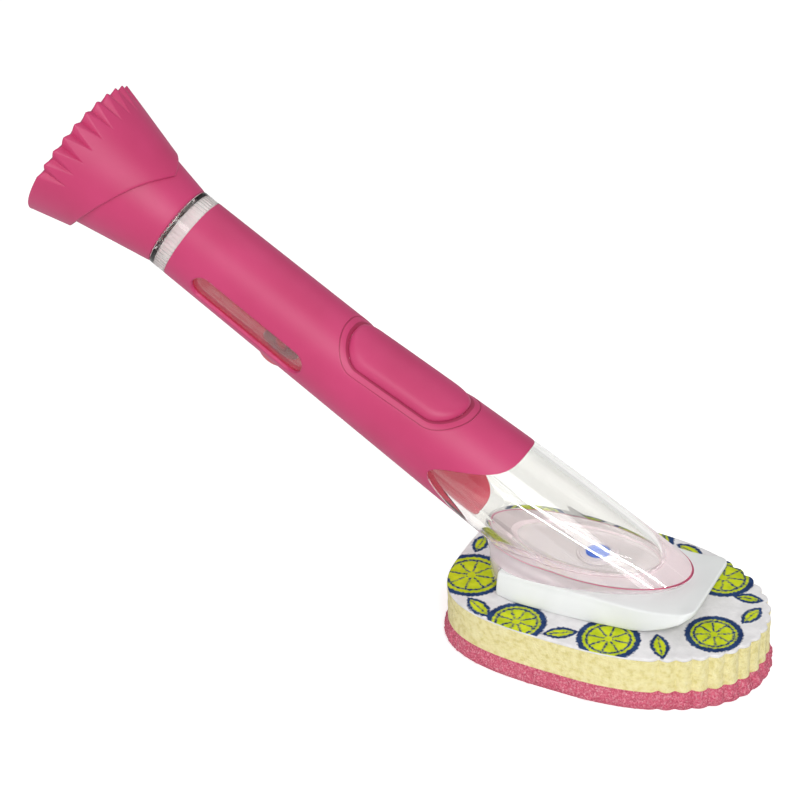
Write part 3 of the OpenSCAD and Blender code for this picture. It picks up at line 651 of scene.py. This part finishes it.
def inside_loop(points, loop):
    """Even-odd test of 2-D points against a closed polyline."""
    p, q = loop, np.roll(loop, -1, axis=0)
    x, y = points[:, None, 0], points[:, None, 1]
    crosses = (p[:, 1] > y) != (q[:, 1] > y)
    rise = np.where(q[:, 1] == p[:, 1], 1e-9, q[:, 1] - p[:, 1])
    at_x = p[:, 0] + (y - p[:, 1]) * (q[:, 0] - p[:, 0]) / rise
    return (crosses & (x < at_x)).sum(1) % 2 == 1


UNROLL = 16.5 * math.pi / 180           # Millimetres of the unrolled sleeve for one degree
SEAM_LEFT, SEAM_RIGHT = -225.0, 135.0   # The seam's angle at both sides of the unrolled sleeve
SLEEVE_TOP = COLLAR_S - 0.02
NET = 1.5                               # Spacing of the sleeve's net


def unrolled(a, s):
    """Place on the unrolled sleeve."""
    return np.stack([np.asarray(a) * UNROLL, np.asarray(s)], -1)


def sleeve_outlines():
    """The sleeve's openings on its unrolled surface: two windows, the pad's opening and the vent hole."""
    bar = bar_outline(WINDOW_LEN, WINDOW_W, WINDOW_W / 2, 120)
    windows = []
    for side in (-1, 1):
        s = WINDOW_S + WINDOW_LEN / 2 + bar[:, 0]
        n = bar[:, 1] - WINDOW_DROP
        a = side * np.degrees(np.arccos(n / grip_r(s, 90.0)))
        windows.append(unrolled(a, s))
    oval = bar_outline(OPEN_L, OPEN_W, OPEN_W * BAR_CORNER, 170)
    s = PAD_S + oval[:, 0]
    a = np.zeros_like(s)
    for _ in range(8):
        a = np.degrees(np.arcsin(oval[:, 1] / grip_r(s, a)))
    opening = unrolled(a, s)
    t = np.radians(np.arange(60) * 6.0)
    r = VENT_R + 0.05
    a = -180 + np.degrees(r * np.cos(t) / grip_r(VENT_S, 180.0))
    hole = unrolled(a, VENT_S + r * np.sin(t))
    return windows, opening, hole


def sleeve_border():
    """The unrolled sleeve's arched lower edge, and its outline with the seam's two sides and the top."""
    a = np.linspace(SEAM_LEFT, SEAM_RIGHT, 170)
    lower = unrolled(a, arch_s(a))
    upper = unrolled(a[::-1], np.full_like(a, SLEEVE_TOP))
    rise = np.linspace(0, 1, 90)[1:-1]
    right, left = (unrolled(np.full_like(rise, seam), arch_s(seam) + (SLEEVE_TOP - arch_s(seam)) * rise)
                   for seam in (SEAM_RIGHT, SEAM_LEFT))
    return lower, np.vstack([lower, right, upper, left[::-1]])


def on_sleeve(points, outline, holes):
    """Whether unrolled points lie inside the outline and in no hole."""
    keep = inside_loop(points, outline)
    for loop in holes:
        keep &= ~inside_loop(points, loop)
    return keep


def sleeve_net(lower, outline, holes):
    """Triangles between the outline and the holes: a net of even spacing, with four finer lines on
    both sides of each edge for its rounding."""
    gx, gy = np.meshgrid(np.arange(SEAM_LEFT * UNROLL, SEAM_RIGHT * UNROLL, NET), np.arange(56, 194, NET))
    gx = gx + np.where(np.arange(gx.shape[0])[:, None] % 2, NET / 2, 0)
    net = np.stack([gx.ravel(), gy.ravel()], -1)
    net = net[loop_distance(net, holes + [outline]) > 1.7]
    fine = []
    for loop in holes + [lower]:
        out = outward(loop, closed=loop is not lower)
        fine += [loop + out * gap * way for gap in (0.12, 0.32, 0.6, 1.1) for way in (-1, 1)]
    fine = np.vstack(fine)
    fine = fine[loop_distance(fine, holes + [outline]) > 0.1]
    extra = np.vstack([fine, net])
    points = np.vstack([outline] + holes + [extra[on_sleeve(extra, outline, holes)]])
    links, start = [], 0
    for loop in [outline] + holes:
        links += [(start + i, start + (i + 1) % len(loop)) for i in range(len(loop))]
        start += len(loop)
    done = delaunay_2d_cdt([Vector(p) for p in points], links, [], 0, 1e-5, False)
    flat, tris = np.array(done[0]), np.array(done[2])
    return flat, tris[on_sleeve(flat[tris].mean(1), outline, holes)]


def sleeve_mesh():
    """The sleeve's net wrapped round the handle. Within 0.5 mm of a hole, or 0.25 mm at the pad's
    opening, the surface drops along a quarter circle. The same net moved in by the sleeve's thickness
    is its inside. Gives points, faces and the material slot of each face."""
    windows, opening, hole = sleeve_outlines()
    holes = windows + [opening, hole]
    lower, outline = sleeve_border()
    flat, tris = sleeve_net(lower, outline, holes)
    angle, s = flat[:, 0] / UNROLL, flat[:, 1]
    drop = np.zeros(len(flat))
    for loop in holes:
        soft = 0.25 if loop is opening else 0.5
        gap = np.minimum(soft, loop_distance(flat, [loop]))
        drop = np.maximum(drop, soft - np.sqrt(soft ** 2 - (soft - gap) ** 2))
    outer, inner = at(s, angle, drop), at(s, angle, SLEEVE_T - 0.04)
    count = len(flat)
    sides = np.sort(np.vstack([tris[:, [0, 1]], tris[:, [1, 2]], tris[:, [2, 0]]]), axis=1)
    kinds, uses = np.unique(sides, axis=0, return_counts=True)
    rim = kinds[uses == 1]
    on_seam = np.isin(np.round(angle, 3), (SEAM_LEFT, SEAM_RIGHT))
    rim = rim[~on_seam[rim].all(1)]
    faces = tris.tolist() + (tris[:, ::-1] + count).tolist()
    faces += np.stack([rim[:, 0], rim[:, 1], rim[:, 1] + count, rim[:, 0] + count], -1).tolist()
    return np.vstack([outer, inner]), faces, [0] * len(tris) + [1] * len(tris) + [0] * len(rim)


def pad_solid():
    """The thumb pad: the plan's rounded bar, shrunk ring by ring to its middle, on the grip's surface
    raised by 0.35 mm. Its edge falls 1.25 mm over 2 mm along a quarter ellipse."""
    x, y = bar_outline(PAD_L, PAD_W, PAD_W * BAR_CORNER, 180).T
    rows = []
    for gap in (10.6, 9.2, 7.6, 6.0, 4.6, 3.4, 2.4, 1.8, 1.3, 0.9, 0.6, 0.35, 0.16, 0.05, 0.0):
        down = 1.25 * (1 - math.sqrt(1 - (1 - min(gap, 2.0) / 2.0) ** 2))
        rows.append(pad_pt(x * (PAD_L / 2 - gap) / (PAD_L / 2), y * (1 - gap / (PAD_W / 2)), down - 0.35))
    rows.append(pad_pt(x, y, 1.45))
    rows += [pad_pt(x * k, y * k, 1.5) for k in (0.9, 0.5, 0.1)]
    return ring_stack(rows)


MOAT_COLS = 200


def moat_solid():
    """The skirt round the pad: it falls from 0.2 mm below the grip's surface at the sleeve's opening
    to 1.05 mm at the pad, ever more steeply, over a back 1.16 mm down."""
    outer = bar_outline(OPEN_L - 0.1, OPEN_W - 0.1, OPEN_W * BAR_CORNER, MOAT_COLS)
    inner = bar_outline(PAD_L + 0.16, PAD_W + 0.16, PAD_W * BAR_CORNER, MOAT_COLS)
    shares = np.linspace(0, 1, 12)
    rows = []
    for k, depth in [(k, 0.2 + 0.35 * k + 0.5 * k ** 3) for k in shares] + [(k, 1.16) for k in shares[::-1]]:
        x, y = (outer * (1 - k) + inner * k).T
        rows.append(pad_pt(x, y, depth))
    return ring_loop(rows)


def vent_solid():
    """The vent plug: a disc with a rounded edge and a faint dish on the underside of the handle, lying
    on the tube, with its stem through the wall."""
    t = np.radians(np.arange(96) * 3.75)
    under = grip_r(VENT_S, 180.0)
    tube = under - SLEEVE_T + 0.05
    disc = ((0.05, -0.25), (3.0, -0.2), (4.8, -0.05), (6.0, 0.0), (6.7, -0.1), (7.1, -0.4), (7.25, -0.8),
            (7.25, -1.6))
    stem = ((2.6, 0.6), (2.6, TUBE_INSET + 1.2), (2.2, TUBE_INSET + 1.5), (0.05, TUBE_INSET + 1.5))
    rings = [(r, under + 0.8 + h) for r, h in disc]
    rings += [(r, np.sqrt(tube ** 2 - (r * np.cos(t)) ** 2)) for r in (7.2, 5.0, 2.7)]
    rings += [(r, under - depth) for r, depth in stem]
    return ring_stack([handle_pt(-down, r * np.cos(t), VENT_S + r * np.sin(t)) for r, down in rings])


def build_grip():
    """The sleeve, the thumb pad in its moat and the vent plug."""
    points, faces, inside = sleeve_mesh()
    sleeve = mesh_object("soft_grip", points, faces, "handle", "soft_grip", GRIP_PINK, ["grip_sleeve"])
    paint(sleeve, inside, INSIDE_PAINTED_GLOW)
    settle(sleeve.data, join=0.00001)
    mesh_object("thumb_button", *pad_solid(), "pump_pad", "soft_grip", GRIP_PINK, ["thumb_pad"])
    points, faces = moat_solid()
    moat = mesh_object("button_moat", points, faces, "handle", "soft_grip", GRIP_PINK, ["pad_skirt"])
    # Painted shade: a deeper pink on the band at the sleeve's edge and on the bands beside the pad, where
    # less light gets in
    bands = [i // MOAT_COLS for i in range(len(faces))]
    paint(moat, [1 if b == 0 or b > 6 else 0 for b in bands], MOAT_PAINTED_SHADE)
    mesh_object("vent_button", *vent_solid(), "handle", "vent_rubber", VENT_SALMON, ["vent_plug"])


build_grip()


# Cap

def shell_r(s):
    """Radius of the cap's cone."""
    return GRIP_TOP - 0.05 + CAP_FLARE * (s - CAP_S)


def skin_r(s):
    """Radius of the skin's crests, a little steeper than the cone."""
    return shell_r(CAP_S + SKIN_START) + SKIN_T + SKIN_FLARE * (s - CAP_S - SKIN_START)


def cap_cone():
    """The cap's lower cone and socket, turned round the handle's axis."""
    a = np.arange(180) * 2.0
    mouth, roof_in, roof_out = shell_r(CAP_S), NECK_TOP + 1.7, NECK_TOP + 3.7
    profile = [(CAP_S + 0.35, mouth), (CAP_S + 0.1, mouth - 0.1), (CAP_S, mouth - 0.35),
               (CAP_S, NECK_R + 0.5), (CAP_S + 0.4, NECK_R + 0.1), (roof_in, NECK_R + 0.1), (roof_in, 0.05),
               (roof_out, 0.05), (roof_out, shell_r(roof_out) - 2), (SHELL_END, shell_r(SHELL_END) - 2),
               (SHELL_END, shell_r(SHELL_END))]
    rows = [round_pt(s, a, r) for s, r in profile]
    rows += [round_pt(s, a, shell_r(s)) for s in np.linspace(SHELL_END - 2, CAP_S + 1, 12)]
    return ring_loop(rows)


FRILL_COLS = 1080
FRILL_A = -180 + np.arange(FRILL_COLS) * 360.0 / FRILL_COLS
PLEAT_LEN, PLEAT_DEPTH = 10.5, 2.0


def pleat(a, w):
    """Depth of the pleats, from 0 to 1. Each is a V groove that starts as a point at w = 0 and opens
    evenly to the whole pitch at the rim, w = 1, with flat walls and a crest rounded at the rim."""
    phase = (a / PLEAT_ANGLE + 0.5) % 1.0 - 0.5
    w = np.clip(w, 0, 1)
    up = np.clip((1 - 2 * np.abs(phase)) / np.maximum(w, 0.02), 0, 1)
    wall = 0.55 * (1 - up) + 0.45 * (1 - np.sin(np.pi / 2 * up))
    return np.where(np.abs(a) < PLEAT_ANGLE * (PLEATS + 1) / 2, wall * w, 0)


def frill():
    """The pleated skin as one closed shell: across the cone's end and down the cone as a lining, up from
    the tongued lower edge to the pleated rim, over the rim and across the end with a low crown."""
    a = FRILL_A
    low = CAP_S + SKIN_START + SKIN_RISE * np.abs(sind(a / 2)) ** 1.2
    full = pleat(a, np.ones_like(a))
    rim, end_r = CAP_END - 0.9 * full, skin_r(CAP_END) - PLEAT_DEPTH * full
    rows = [round_pt(SHELL_END + 0.05, a, (shell_r(SHELL_END) + 0.04) * k) for k in (0.3, 0.8, 1.0)]
    for k in np.linspace(1, 0, 14):
        s = low + 0.5 + (SHELL_END - low - 0.5) * k
        rows.append(round_pt(s, a, shell_r(s) + 0.04))
    for lift, sink in ((0.5, 0.85), (0.15, 0.75), (0.02, 0.55), (0.0, 0.38), (0.04, 0.2), (0.15, 0.07),
                       (0.35, 0.0)):
        rows.append(round_pt(low + lift, a, skin_r(low + lift) - sink))
    for k in np.concatenate([np.linspace(0.03, 0.6, 10), np.linspace(0.63, 0.985, 26)]):
        s = low + 0.35 + (rim - 0.5 - low - 0.35) * k
        w = (s - (CAP_END - PLEAT_LEN)) / PLEAT_LEN
        rows.append(round_pt(s, a, skin_r(s) - PLEAT_DEPTH * pleat(a, w)))
    for drop, sink in ((0.3, 0.02), (0.1, 0.12), (0.0, 0.35)):
        rows.append(round_pt(rim - drop, a, end_r - sink))
    for k, up in ((0.955, -0.02), (0.93, 0.05), (0.86, 0.2), (0.7, 0.6), (0.45, 1.0), (0.2, 1.2)):
        rows.append(round_pt(CAP_END - 0.9 * full * max(0, (k - 0.86) / 0.14) + up, a, end_r * k))
    return ring_stack(rows)


def build_cap():
    """The cap's cone, its pleated skin, and the seal's own solid in its foam white."""
    mesh_object("cap_cone", *cap_cone(), "cap", "soft_grip", GRIP_PINK, ["cap_shell"])
    mesh_object("cap_frill", *frill(), "cap", "soft_grip", GRIP_PINK, ["cap_skin"])
    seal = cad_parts["cap_seal"]
    seal.data.materials.clear()
    seal.data.materials.append(SEAL_WHITE)


build_cap()


# Connector plate

FOOT_TIP, LIP_X, LIP_H, LIP_T, LIP_CORNER = 19.5, 36.0, 11.3, 1.8, 5.0
PLATE_W, PLATE_TOP_W, LIP_W, LIP_START = 45.6, 39.4, 37.0, 6.0


def plate_top(x):
    """Height of the plate's top: flat, then a hollow rise to the lip, a power of 1.7."""
    return PLATE_H + (LIP_H - PLATE_H) * max(0.0, (x - FOOT_TIP) / (LIP_X - FOOT_TIP)) ** 1.7


def plate_under(x):
    """Height of the underside: on the sponge, then lifting towards the lip, a power of 1.8."""
    return (LIP_H - LIP_T) * max(0.0, (x - FOOT_TIP + LIP_START) / (LIP_X - FOOT_TIP + LIP_START)) ** 1.8


def plate_section(x, shrink, corner):
    """One cross-section: flat below and above, with slightly hollow sides and rounded corners."""
    k = max(0.0, (x - LIP_X + LIP_CORNER) / LIP_CORNER)
    cut = LIP_CORNER * (1 - math.sqrt(max(0.0, 1 - k * k)))
    top = PLATE_TOP_W / 2 - (PLATE_TOP_W - LIP_W) / 2 * ease((x - FOOT_TIP + LIP_START) / 16.5) - cut
    foot = PLATE_W / 2 - (PLATE_W / 2 - PLATE_TOP_W / 2 - 0.7) * ease((x + 12) / 36.0)
    foot -= 1.6 * ease((8 - x - PLATE_REAR) / 8)
    zt, zb = plate_top(x) - shrink, plate_under(x) + shrink
    lift = zb / LIP_H
    wb = max(top, foot * (1 - lift) + top * lift - cut) - shrink
    wt = top - shrink
    e = min(corner, (zt - zb) * 0.45)
    turn = np.radians(np.linspace(0, 90, 6))
    low = [(wb - e + e * math.sin(t), zb + e - e * math.cos(t)) for t in turn]
    high = [(wt - e + e * math.cos(t), zt - e + e * math.sin(t)) for t in turn]
    side = [(wb + (wt - wb) * q ** 1.5, zb + e + (zt - zb - 2 * e) * q) for q in (0.2, 0.4, 0.6, 0.8)]
    flat_low = [(wb * q, zb) for q in (0.0, 0.5, 0.85)]
    flat_high = [(wt * q, zt) for q in (0.85, 0.5, 0.0)]
    half = flat_low + low + side + high + flat_high
    whole = half + [(-y, z) for y, z in half[-2:0:-1]]
    return np.array([(x, y, HEAD_T + z) for y, z in whole])


def drawn_in(left, radius):
    """How far a rounded end draws a section in, at a distance left from that end."""
    return radius * (1 - math.sqrt(max(0.0, 1 - (1 - left / radius) ** 2))) if left < radius else 0.0


def slot_tool():
    """The T slot that takes the rail, open at the rear, as an object to cut with."""
    z0, z1 = (HEAD_T + PLATE_H - depth for depth in (RAIL_FOOT + RAIL_ROOM, RAIL_UNDER - RAIL_ROOM))
    wide, neck, top = RAIL_HALF_W + RAIL_ROOM, RAIL_NECK + RAIL_ROOM, HEAD_T + PLATE_H + 2
    slot = np.array([(-wide, z0), (wide, z0), (wide, z1), (neck, z1), (neck, top), (-neck, top), (-neck, z1),
                     (-wide, z1)])
    count = len(slot)
    ends = [np.column_stack([np.full(count, x), slot]) for x in (-PLATE_REAR - 3, RAIL_END + RAIL_ROOM)]
    faces = [list(range(count))[::-1], list(range(count, 2 * count))] + band_faces(2, count)
    mesh = bpy.data.meshes.new("slot_tool")
    mesh.from_pydata((np.vstack(ends) * MM).tolist(), [], faces)
    return add_object("slot_tool", mesh)


def plate_piece():
    """The plate: cross-sections along x, drawn in at both ends for a rounded edge, less the slot."""
    rear, nose = 0.8, 0.75
    turn = np.radians(np.linspace(0, 90, 6))
    stations = [(x, drawn_in(x + PLATE_REAR, rear)) for x in -PLATE_REAR + rear * (1 - np.cos(turn))]
    stations += [(x, 0.0) for x in (*np.linspace(-33.2, 18, 26), *np.linspace(19, 30.6, 14))]
    front = [LIP_X - LIP_CORNER * (1 - math.sin(q)) for q in np.radians(np.linspace(0, 90, 22))]
    stations += [(x, drawn_in(LIP_X - x, nose)) for x in front]
    points, faces = ring_stack([plate_section(x, shrink, 0.9) for x, shrink in stations])
    plate = mesh_object("connector", points, faces, "head", "white_plastic", PLATE_WHITE, ["connector_plate"])
    tool = slot_tool()
    cutter = plate.modifiers.new("slot", "BOOLEAN")
    cutter.operation, cutter.object, cutter.solver = "DIFFERENCE", tool, "EXACT"
    done = bpy.data.meshes.new_from_object(plate.evaluated_get(bpy.context.evaluated_depsgraph_get()))
    plate.modifiers.clear()
    plate.data = done
    bpy.data.objects.remove(tool)
    done.set_sharp_from_angle(angle=CREASE)


plate_piece()


# Sponge

HEAD_HALF_L, HEAD_HALF_W = 56, 35.8
SCALLOP_W, SCALLOP_D, SCALLOP_N = 5.8, 1.3, 8


def sponge_outline(cols):
    """Outline of the sponge, from the front tip round: a square oval behind (power 3.4) and an ellipse
    in front (power 2.06). Gives points, outward directions and the scallops' depth: each is one half
    wave of a sine with a sharp valley."""
    t = np.radians(np.linspace(0, 360, 4001))
    c, s = np.cos(t), np.sin(t)
    q = np.where(c > 0, 2.06, 3.4)
    loop = np.stack([HEAD_HALF_L * np.sign(c) * np.abs(c) ** (2 / q),
                     HEAD_HALF_W * np.sign(s) * np.abs(s) ** (2 / q)], -1)
    place, w, length = evenly(loop, cols)
    tip = np.minimum(w, length - w)
    wave = SCALLOP_D * (1 - np.abs(np.cos(np.pi * tip / SCALLOP_W)))
    return place, outward(place), np.where(tip > SCALLOP_N * SCALLOP_W, 0, wave)


def slab(cols, levels, fill_rings, rough=0.0, scale=1.0, seed=0, up=0.0):
    """Rings of a foam slab: across the underside, up the side through levels of (height, outward,
    scallop share), and across the top. Noise of a scale in millimetres moves the side in and out by
    rough, and up by up."""
    place, out, dent = sponge_outline(cols)
    side = np.array([np.column_stack([place + out * (grow - dent * share)[:, None], np.full(cols, z)])
                     for z, grow, share in levels])
    if rough:
        flank = side[1:-1]
        n = noise3(flank / scale, seed) + 0.5 * noise3(flank / (scale * 0.45), seed + 1)
        flank[:, :, :2] += out[None] * (n * rough)[..., None]
        flank[:, :, 2] += noise3(flank / scale, seed + 2) * up
    under = [side[0] * [k, k, 1] for k in fill_rings]
    over = [side[-1] * [k, k, 1] for k in fill_rings[::-1]]
    return under, list(side), over


FOAM_COLS, PRINT_COLS = 700, 620


def scouring_piece():
    """The abrasive foam: flared below the core, coarse and granular, its flat face at z = 0."""
    levels = []
    for k in np.linspace(0, 1, 16):
        flare = 0.85 + 0.85 * math.sin(math.pi * (k / 0.3) / 2)
        if k >= 0.3:
            flare = 1.7 * (1 - ((k - 0.3) / 0.7) ** 1.3)
        levels.append((SCOUR_T * k, flare - 0.35, 0.6 + 0.4 * k))
    under, side, over = slab(FOAM_COLS, levels, [0.25, 0.5, 0.7, 0.85, 0.95, 0.98], 0.42, 1.1, 3, up=0.12)
    points, faces = ring_stack(under + side + over)
    points[:, 2] = np.maximum(points[:, 2], 0)
    piece = mesh_object("scouring_pad", points, faces, "head", "scour_foam", FOAM_PINK, ["scour_foam"])


def core_piece():
    """The soft core: straight cut sides with open pores, and sharp valleys between the scallops."""
    levels = [(SCOUR_T + 0.02 + (CORE_T - 0.04) * k, -0.12 * math.sin(math.pi * k), 1.0)
              for k in np.linspace(0, 1, 24)]
    under, side, over = slab(FOAM_COLS, levels, [0.3, 0.6, 0.9], 0.12, 1.6, 11)
    piece = mesh_object("yellow_core", *ring_stack(under + side + over), "head", "yellow_foam", FOAM_YELLOW,
                        ["foam_core"])


# Places of the print's motifs: (x, y, radius, turn), and (x, y, half length, half width, turn)
CITRUS = [(-47.0, -14.0, 11.5, 10), (-22.0, -31.5, 9.5, 40), (10.0, -27.5, 10.0, 5), (41.0, -10.5, 9.0, 25),
          (33.0, 20.0, 10.0, 60), (0.0, 30.0, 9.5, 15), (-40.0, 24.0, 10.5, 35)]
LEAVES = [(-37.0, -29.5, 6.0, 2.6, 150), (-6.0, -31.0, 5.5, 2.4, 30), (27.0, -24.0, 6.0, 2.6, 120),
          (49.0, 4.0, 5.0, 2.3, 75), (45.0, 12.5, 4.6, 2.1, 10), (17.0, 30.0, 5.5, 2.5, 160),
          (-20.0, 31.0, 6.0, 2.6, 20), (-52.0, 4.0, 5.0, 2.3, 95)]
FAR = 9.0                       # Stands for a place far from every motif


def print_fields(x, y):
    """The print in millimetres: how far a point lies inside the fill, and from the nearest line. The
    motifs are citrus slices (a rind, a pith ring and spokes) and pointed leaves with a midrib."""
    fill, line = np.full_like(x, -FAR), np.full_like(x, FAR)
    for cx, cy, r, turn in CITRUS:
        dx, dy = x - cx, y - cy
        d = np.hypot(dx, dy)
        t = np.degrees(np.arctan2(dy, dx)) - turn
        spoke = (t / 45.0 + 0.5) % 1.0 - 0.5
        off_spoke = np.abs(np.sin(np.radians(spoke * 45.0))) * d
        off_spoke = np.where((d < r * 0.72) & (d > r * 0.12), off_spoke + 0.25, FAR)
        fill = np.maximum(fill, r - 0.6 - d)
        rind, pith = np.abs(d - r + 0.2) - 0.45, np.abs(d - r * 0.74) + 0.15
        line = np.minimum.reduce([line, rind, pith, off_spoke])
    for cx, cy, half, wide, turn in LEAVES:
        c, s = math.cos(math.radians(turn)), math.sin(math.radians(turn))
        u, v = (x - cx) * c + (y - cy) * s, -(x - cx) * s + (y - cy) * c
        edge = wide * (1 - (u / half) ** 2)
        inside = np.minimum(edge - np.abs(v), half - np.abs(u))
        fill = np.maximum(fill, inside - 0.3)
        midrib = np.where(np.abs(u) < half * 0.75, np.abs(v) + 0.35, FAR)
        line = np.minimum.reduce([line, np.abs(inside) - 0.1, midrib])
    return fill, line


def print_piece():
    """The printed top: a thin layer with a softened edge, its face faintly uneven."""
    base = SCOUR_T + CORE_T
    levels = [(base + 0.02, -0.1, 1.0), (base + 0.4, 0.0, 1.0), (base + 0.85, -0.05, 1.0),
              (base + 1.08, -0.2, 1.0), (base + PRINT_T, -0.55, 1.0)]
    under, side, over = slab(PRINT_COLS, levels, np.linspace(0.02, 0.99, 110))
    points, faces = ring_stack(under[::12] + side + over)
    upper = points[:, 2] > base + 0.6
    wobble = noise3(points / 5.0, 21) * 0.05 + noise3(points / 1.4, 22) * 0.03
    points[:, 2] = np.where(upper, np.minimum(points[:, 2] + wobble - 0.06, HEAD_T), points[:, 2])
    piece = mesh_object("printed_cloth", points, faces, "head", "printed_foam", PRINTED, ["print_layer"])
    co = np.zeros(len(piece.data.vertices) * 3)
    piece.data.vertices.foreach_get("co", co)
    co = co.reshape(-1, 3) / MM
    fill, line = print_fields(co[:, 0], co[:, 1])
    side_face = co[:, 2] < base + 0.6
    for name, values, blank in (("fill", fill, -FAR), ("line", line, FAR)):
        field = piece.data.attributes.new(name, "FLOAT", "POINT")
        field.data.foreach_set("value", np.where(side_face, blank, values))


scouring_piece()
core_piece()
print_piece()


# Floor, light and background

def seen_straight(tree):
    """1 for rays that come from the camera, straight or through clear plastic, and 0 for the others."""
    path = node(tree, "ShaderNodeLightPath")
    return maths(tree, "MAXIMUM", (path, "Is Camera Ray"), (path, "Is Transmission Ray"))


def floor_paper():
    """Matt pale paper: it takes soft shadows, and glows a little to the camera so that it looks white."""
    made, tree, shader, end = new_material("floor_paper", {
        "Base Color": linear("#e8e8e8"), "Roughness": 0.9, "Specular IOR Level": 0.0})
    lift = maths(tree, "MULTIPLY", (seen_straight(tree), 0), 0.55)
    glow = node(tree, "ShaderNodeEmission", {"Strength": (lift, 0)})
    both = node(tree, "ShaderNodeAddShader", {0: (shader, 0), 1: (glow, 0)})
    tree.links.new(both.outputs[0], end.inputs[0])
    return made


def studio():
    """A plain floor just under the part, and a surround that the camera sees whiter than it lights."""
    half, z = 3.0, -0.0002
    mesh = bpy.data.meshes.new("floor")
    corners = [(-half, -half, z), (half, -half, z), (half, half, z), (-half, half, z)]
    mesh.from_pydata(corners, [], [(0, 1, 2, 3)])
    mesh.materials.append(floor_paper())
    floor = add_object("floor", mesh)
    world = bpy.data.worlds.new("surround")
    bpy.context.scene.world = world
    world.use_nodes = True
    tree = world.node_tree
    tree.nodes.clear()
    strength = node(tree, "ShaderNodeMapRange",
                    {"Value": (seen_straight(tree), 0), "To Min": 0.26, "To Max": 0.9})
    ground = node(tree, "ShaderNodeBackground", {"Color": linear("#ffffff"), "Strength": (strength, 0)})
    node(tree, "ShaderNodeOutputWorld", {0: (ground, 0)})


def lamp(name, place, aim, size, power):
    """A white area lamp at a place, turned to a point, with its width and height in metres."""
    data = bpy.data.lights.new(name, "AREA")
    data.shape = "RECTANGLE"
    data.size, data.size_y = size
    data.energy = power
    made = add_object(name, data)
    made.location = place
    made.rotation_mode = "QUATERNION"
    made.rotation_quaternion = (Vector(place) - Vector(aim)).to_track_quat("Z", "Y")
    return made


def strip(name, end_a, end_b, width, power):
    """A long strip lamp between two places, turned to the grip: it draws a streak along the handle."""
    p, q, aim = Vector(end_a), Vector(end_b), Vector((-0.01, -0.01, 0.05))
    along, middle = (q - p).normalized(), (p + q) / 2
    made = lamp(name, middle, aim, ((q - p).length, width), power)
    out = middle - aim
    out = (out - along * out.dot(along)).normalized()
    made.rotation_quaternion = Matrix((along, out.cross(along), out)).transposed().to_quaternion()


studio()
lamp("key", (0.62, -1.12, 1.25), (-0.05, 0, 0.08), (0.8, 0.8), 8.0)
lamp("fill", (-0.9, -1.2, 0.5), (-0.05, 0, 0.08), (1.0, 1.0), 3.8)
lamp("top", (0.1, 0.5, 1.3), (-0.05, 0, 0.05), (1.2, 1.2), 4.2)
strip("streak", (0.27, -1.12, 0.71), (0.752, -0.175, 1.026), 0.016, 4.5)
strip("second_streak", (0.048, -1.295, 0.351), (0.683, -0.586, 0.915), 0.012, 2.4)

bpy.context.scene.view_settings.view_transform = "Standard"
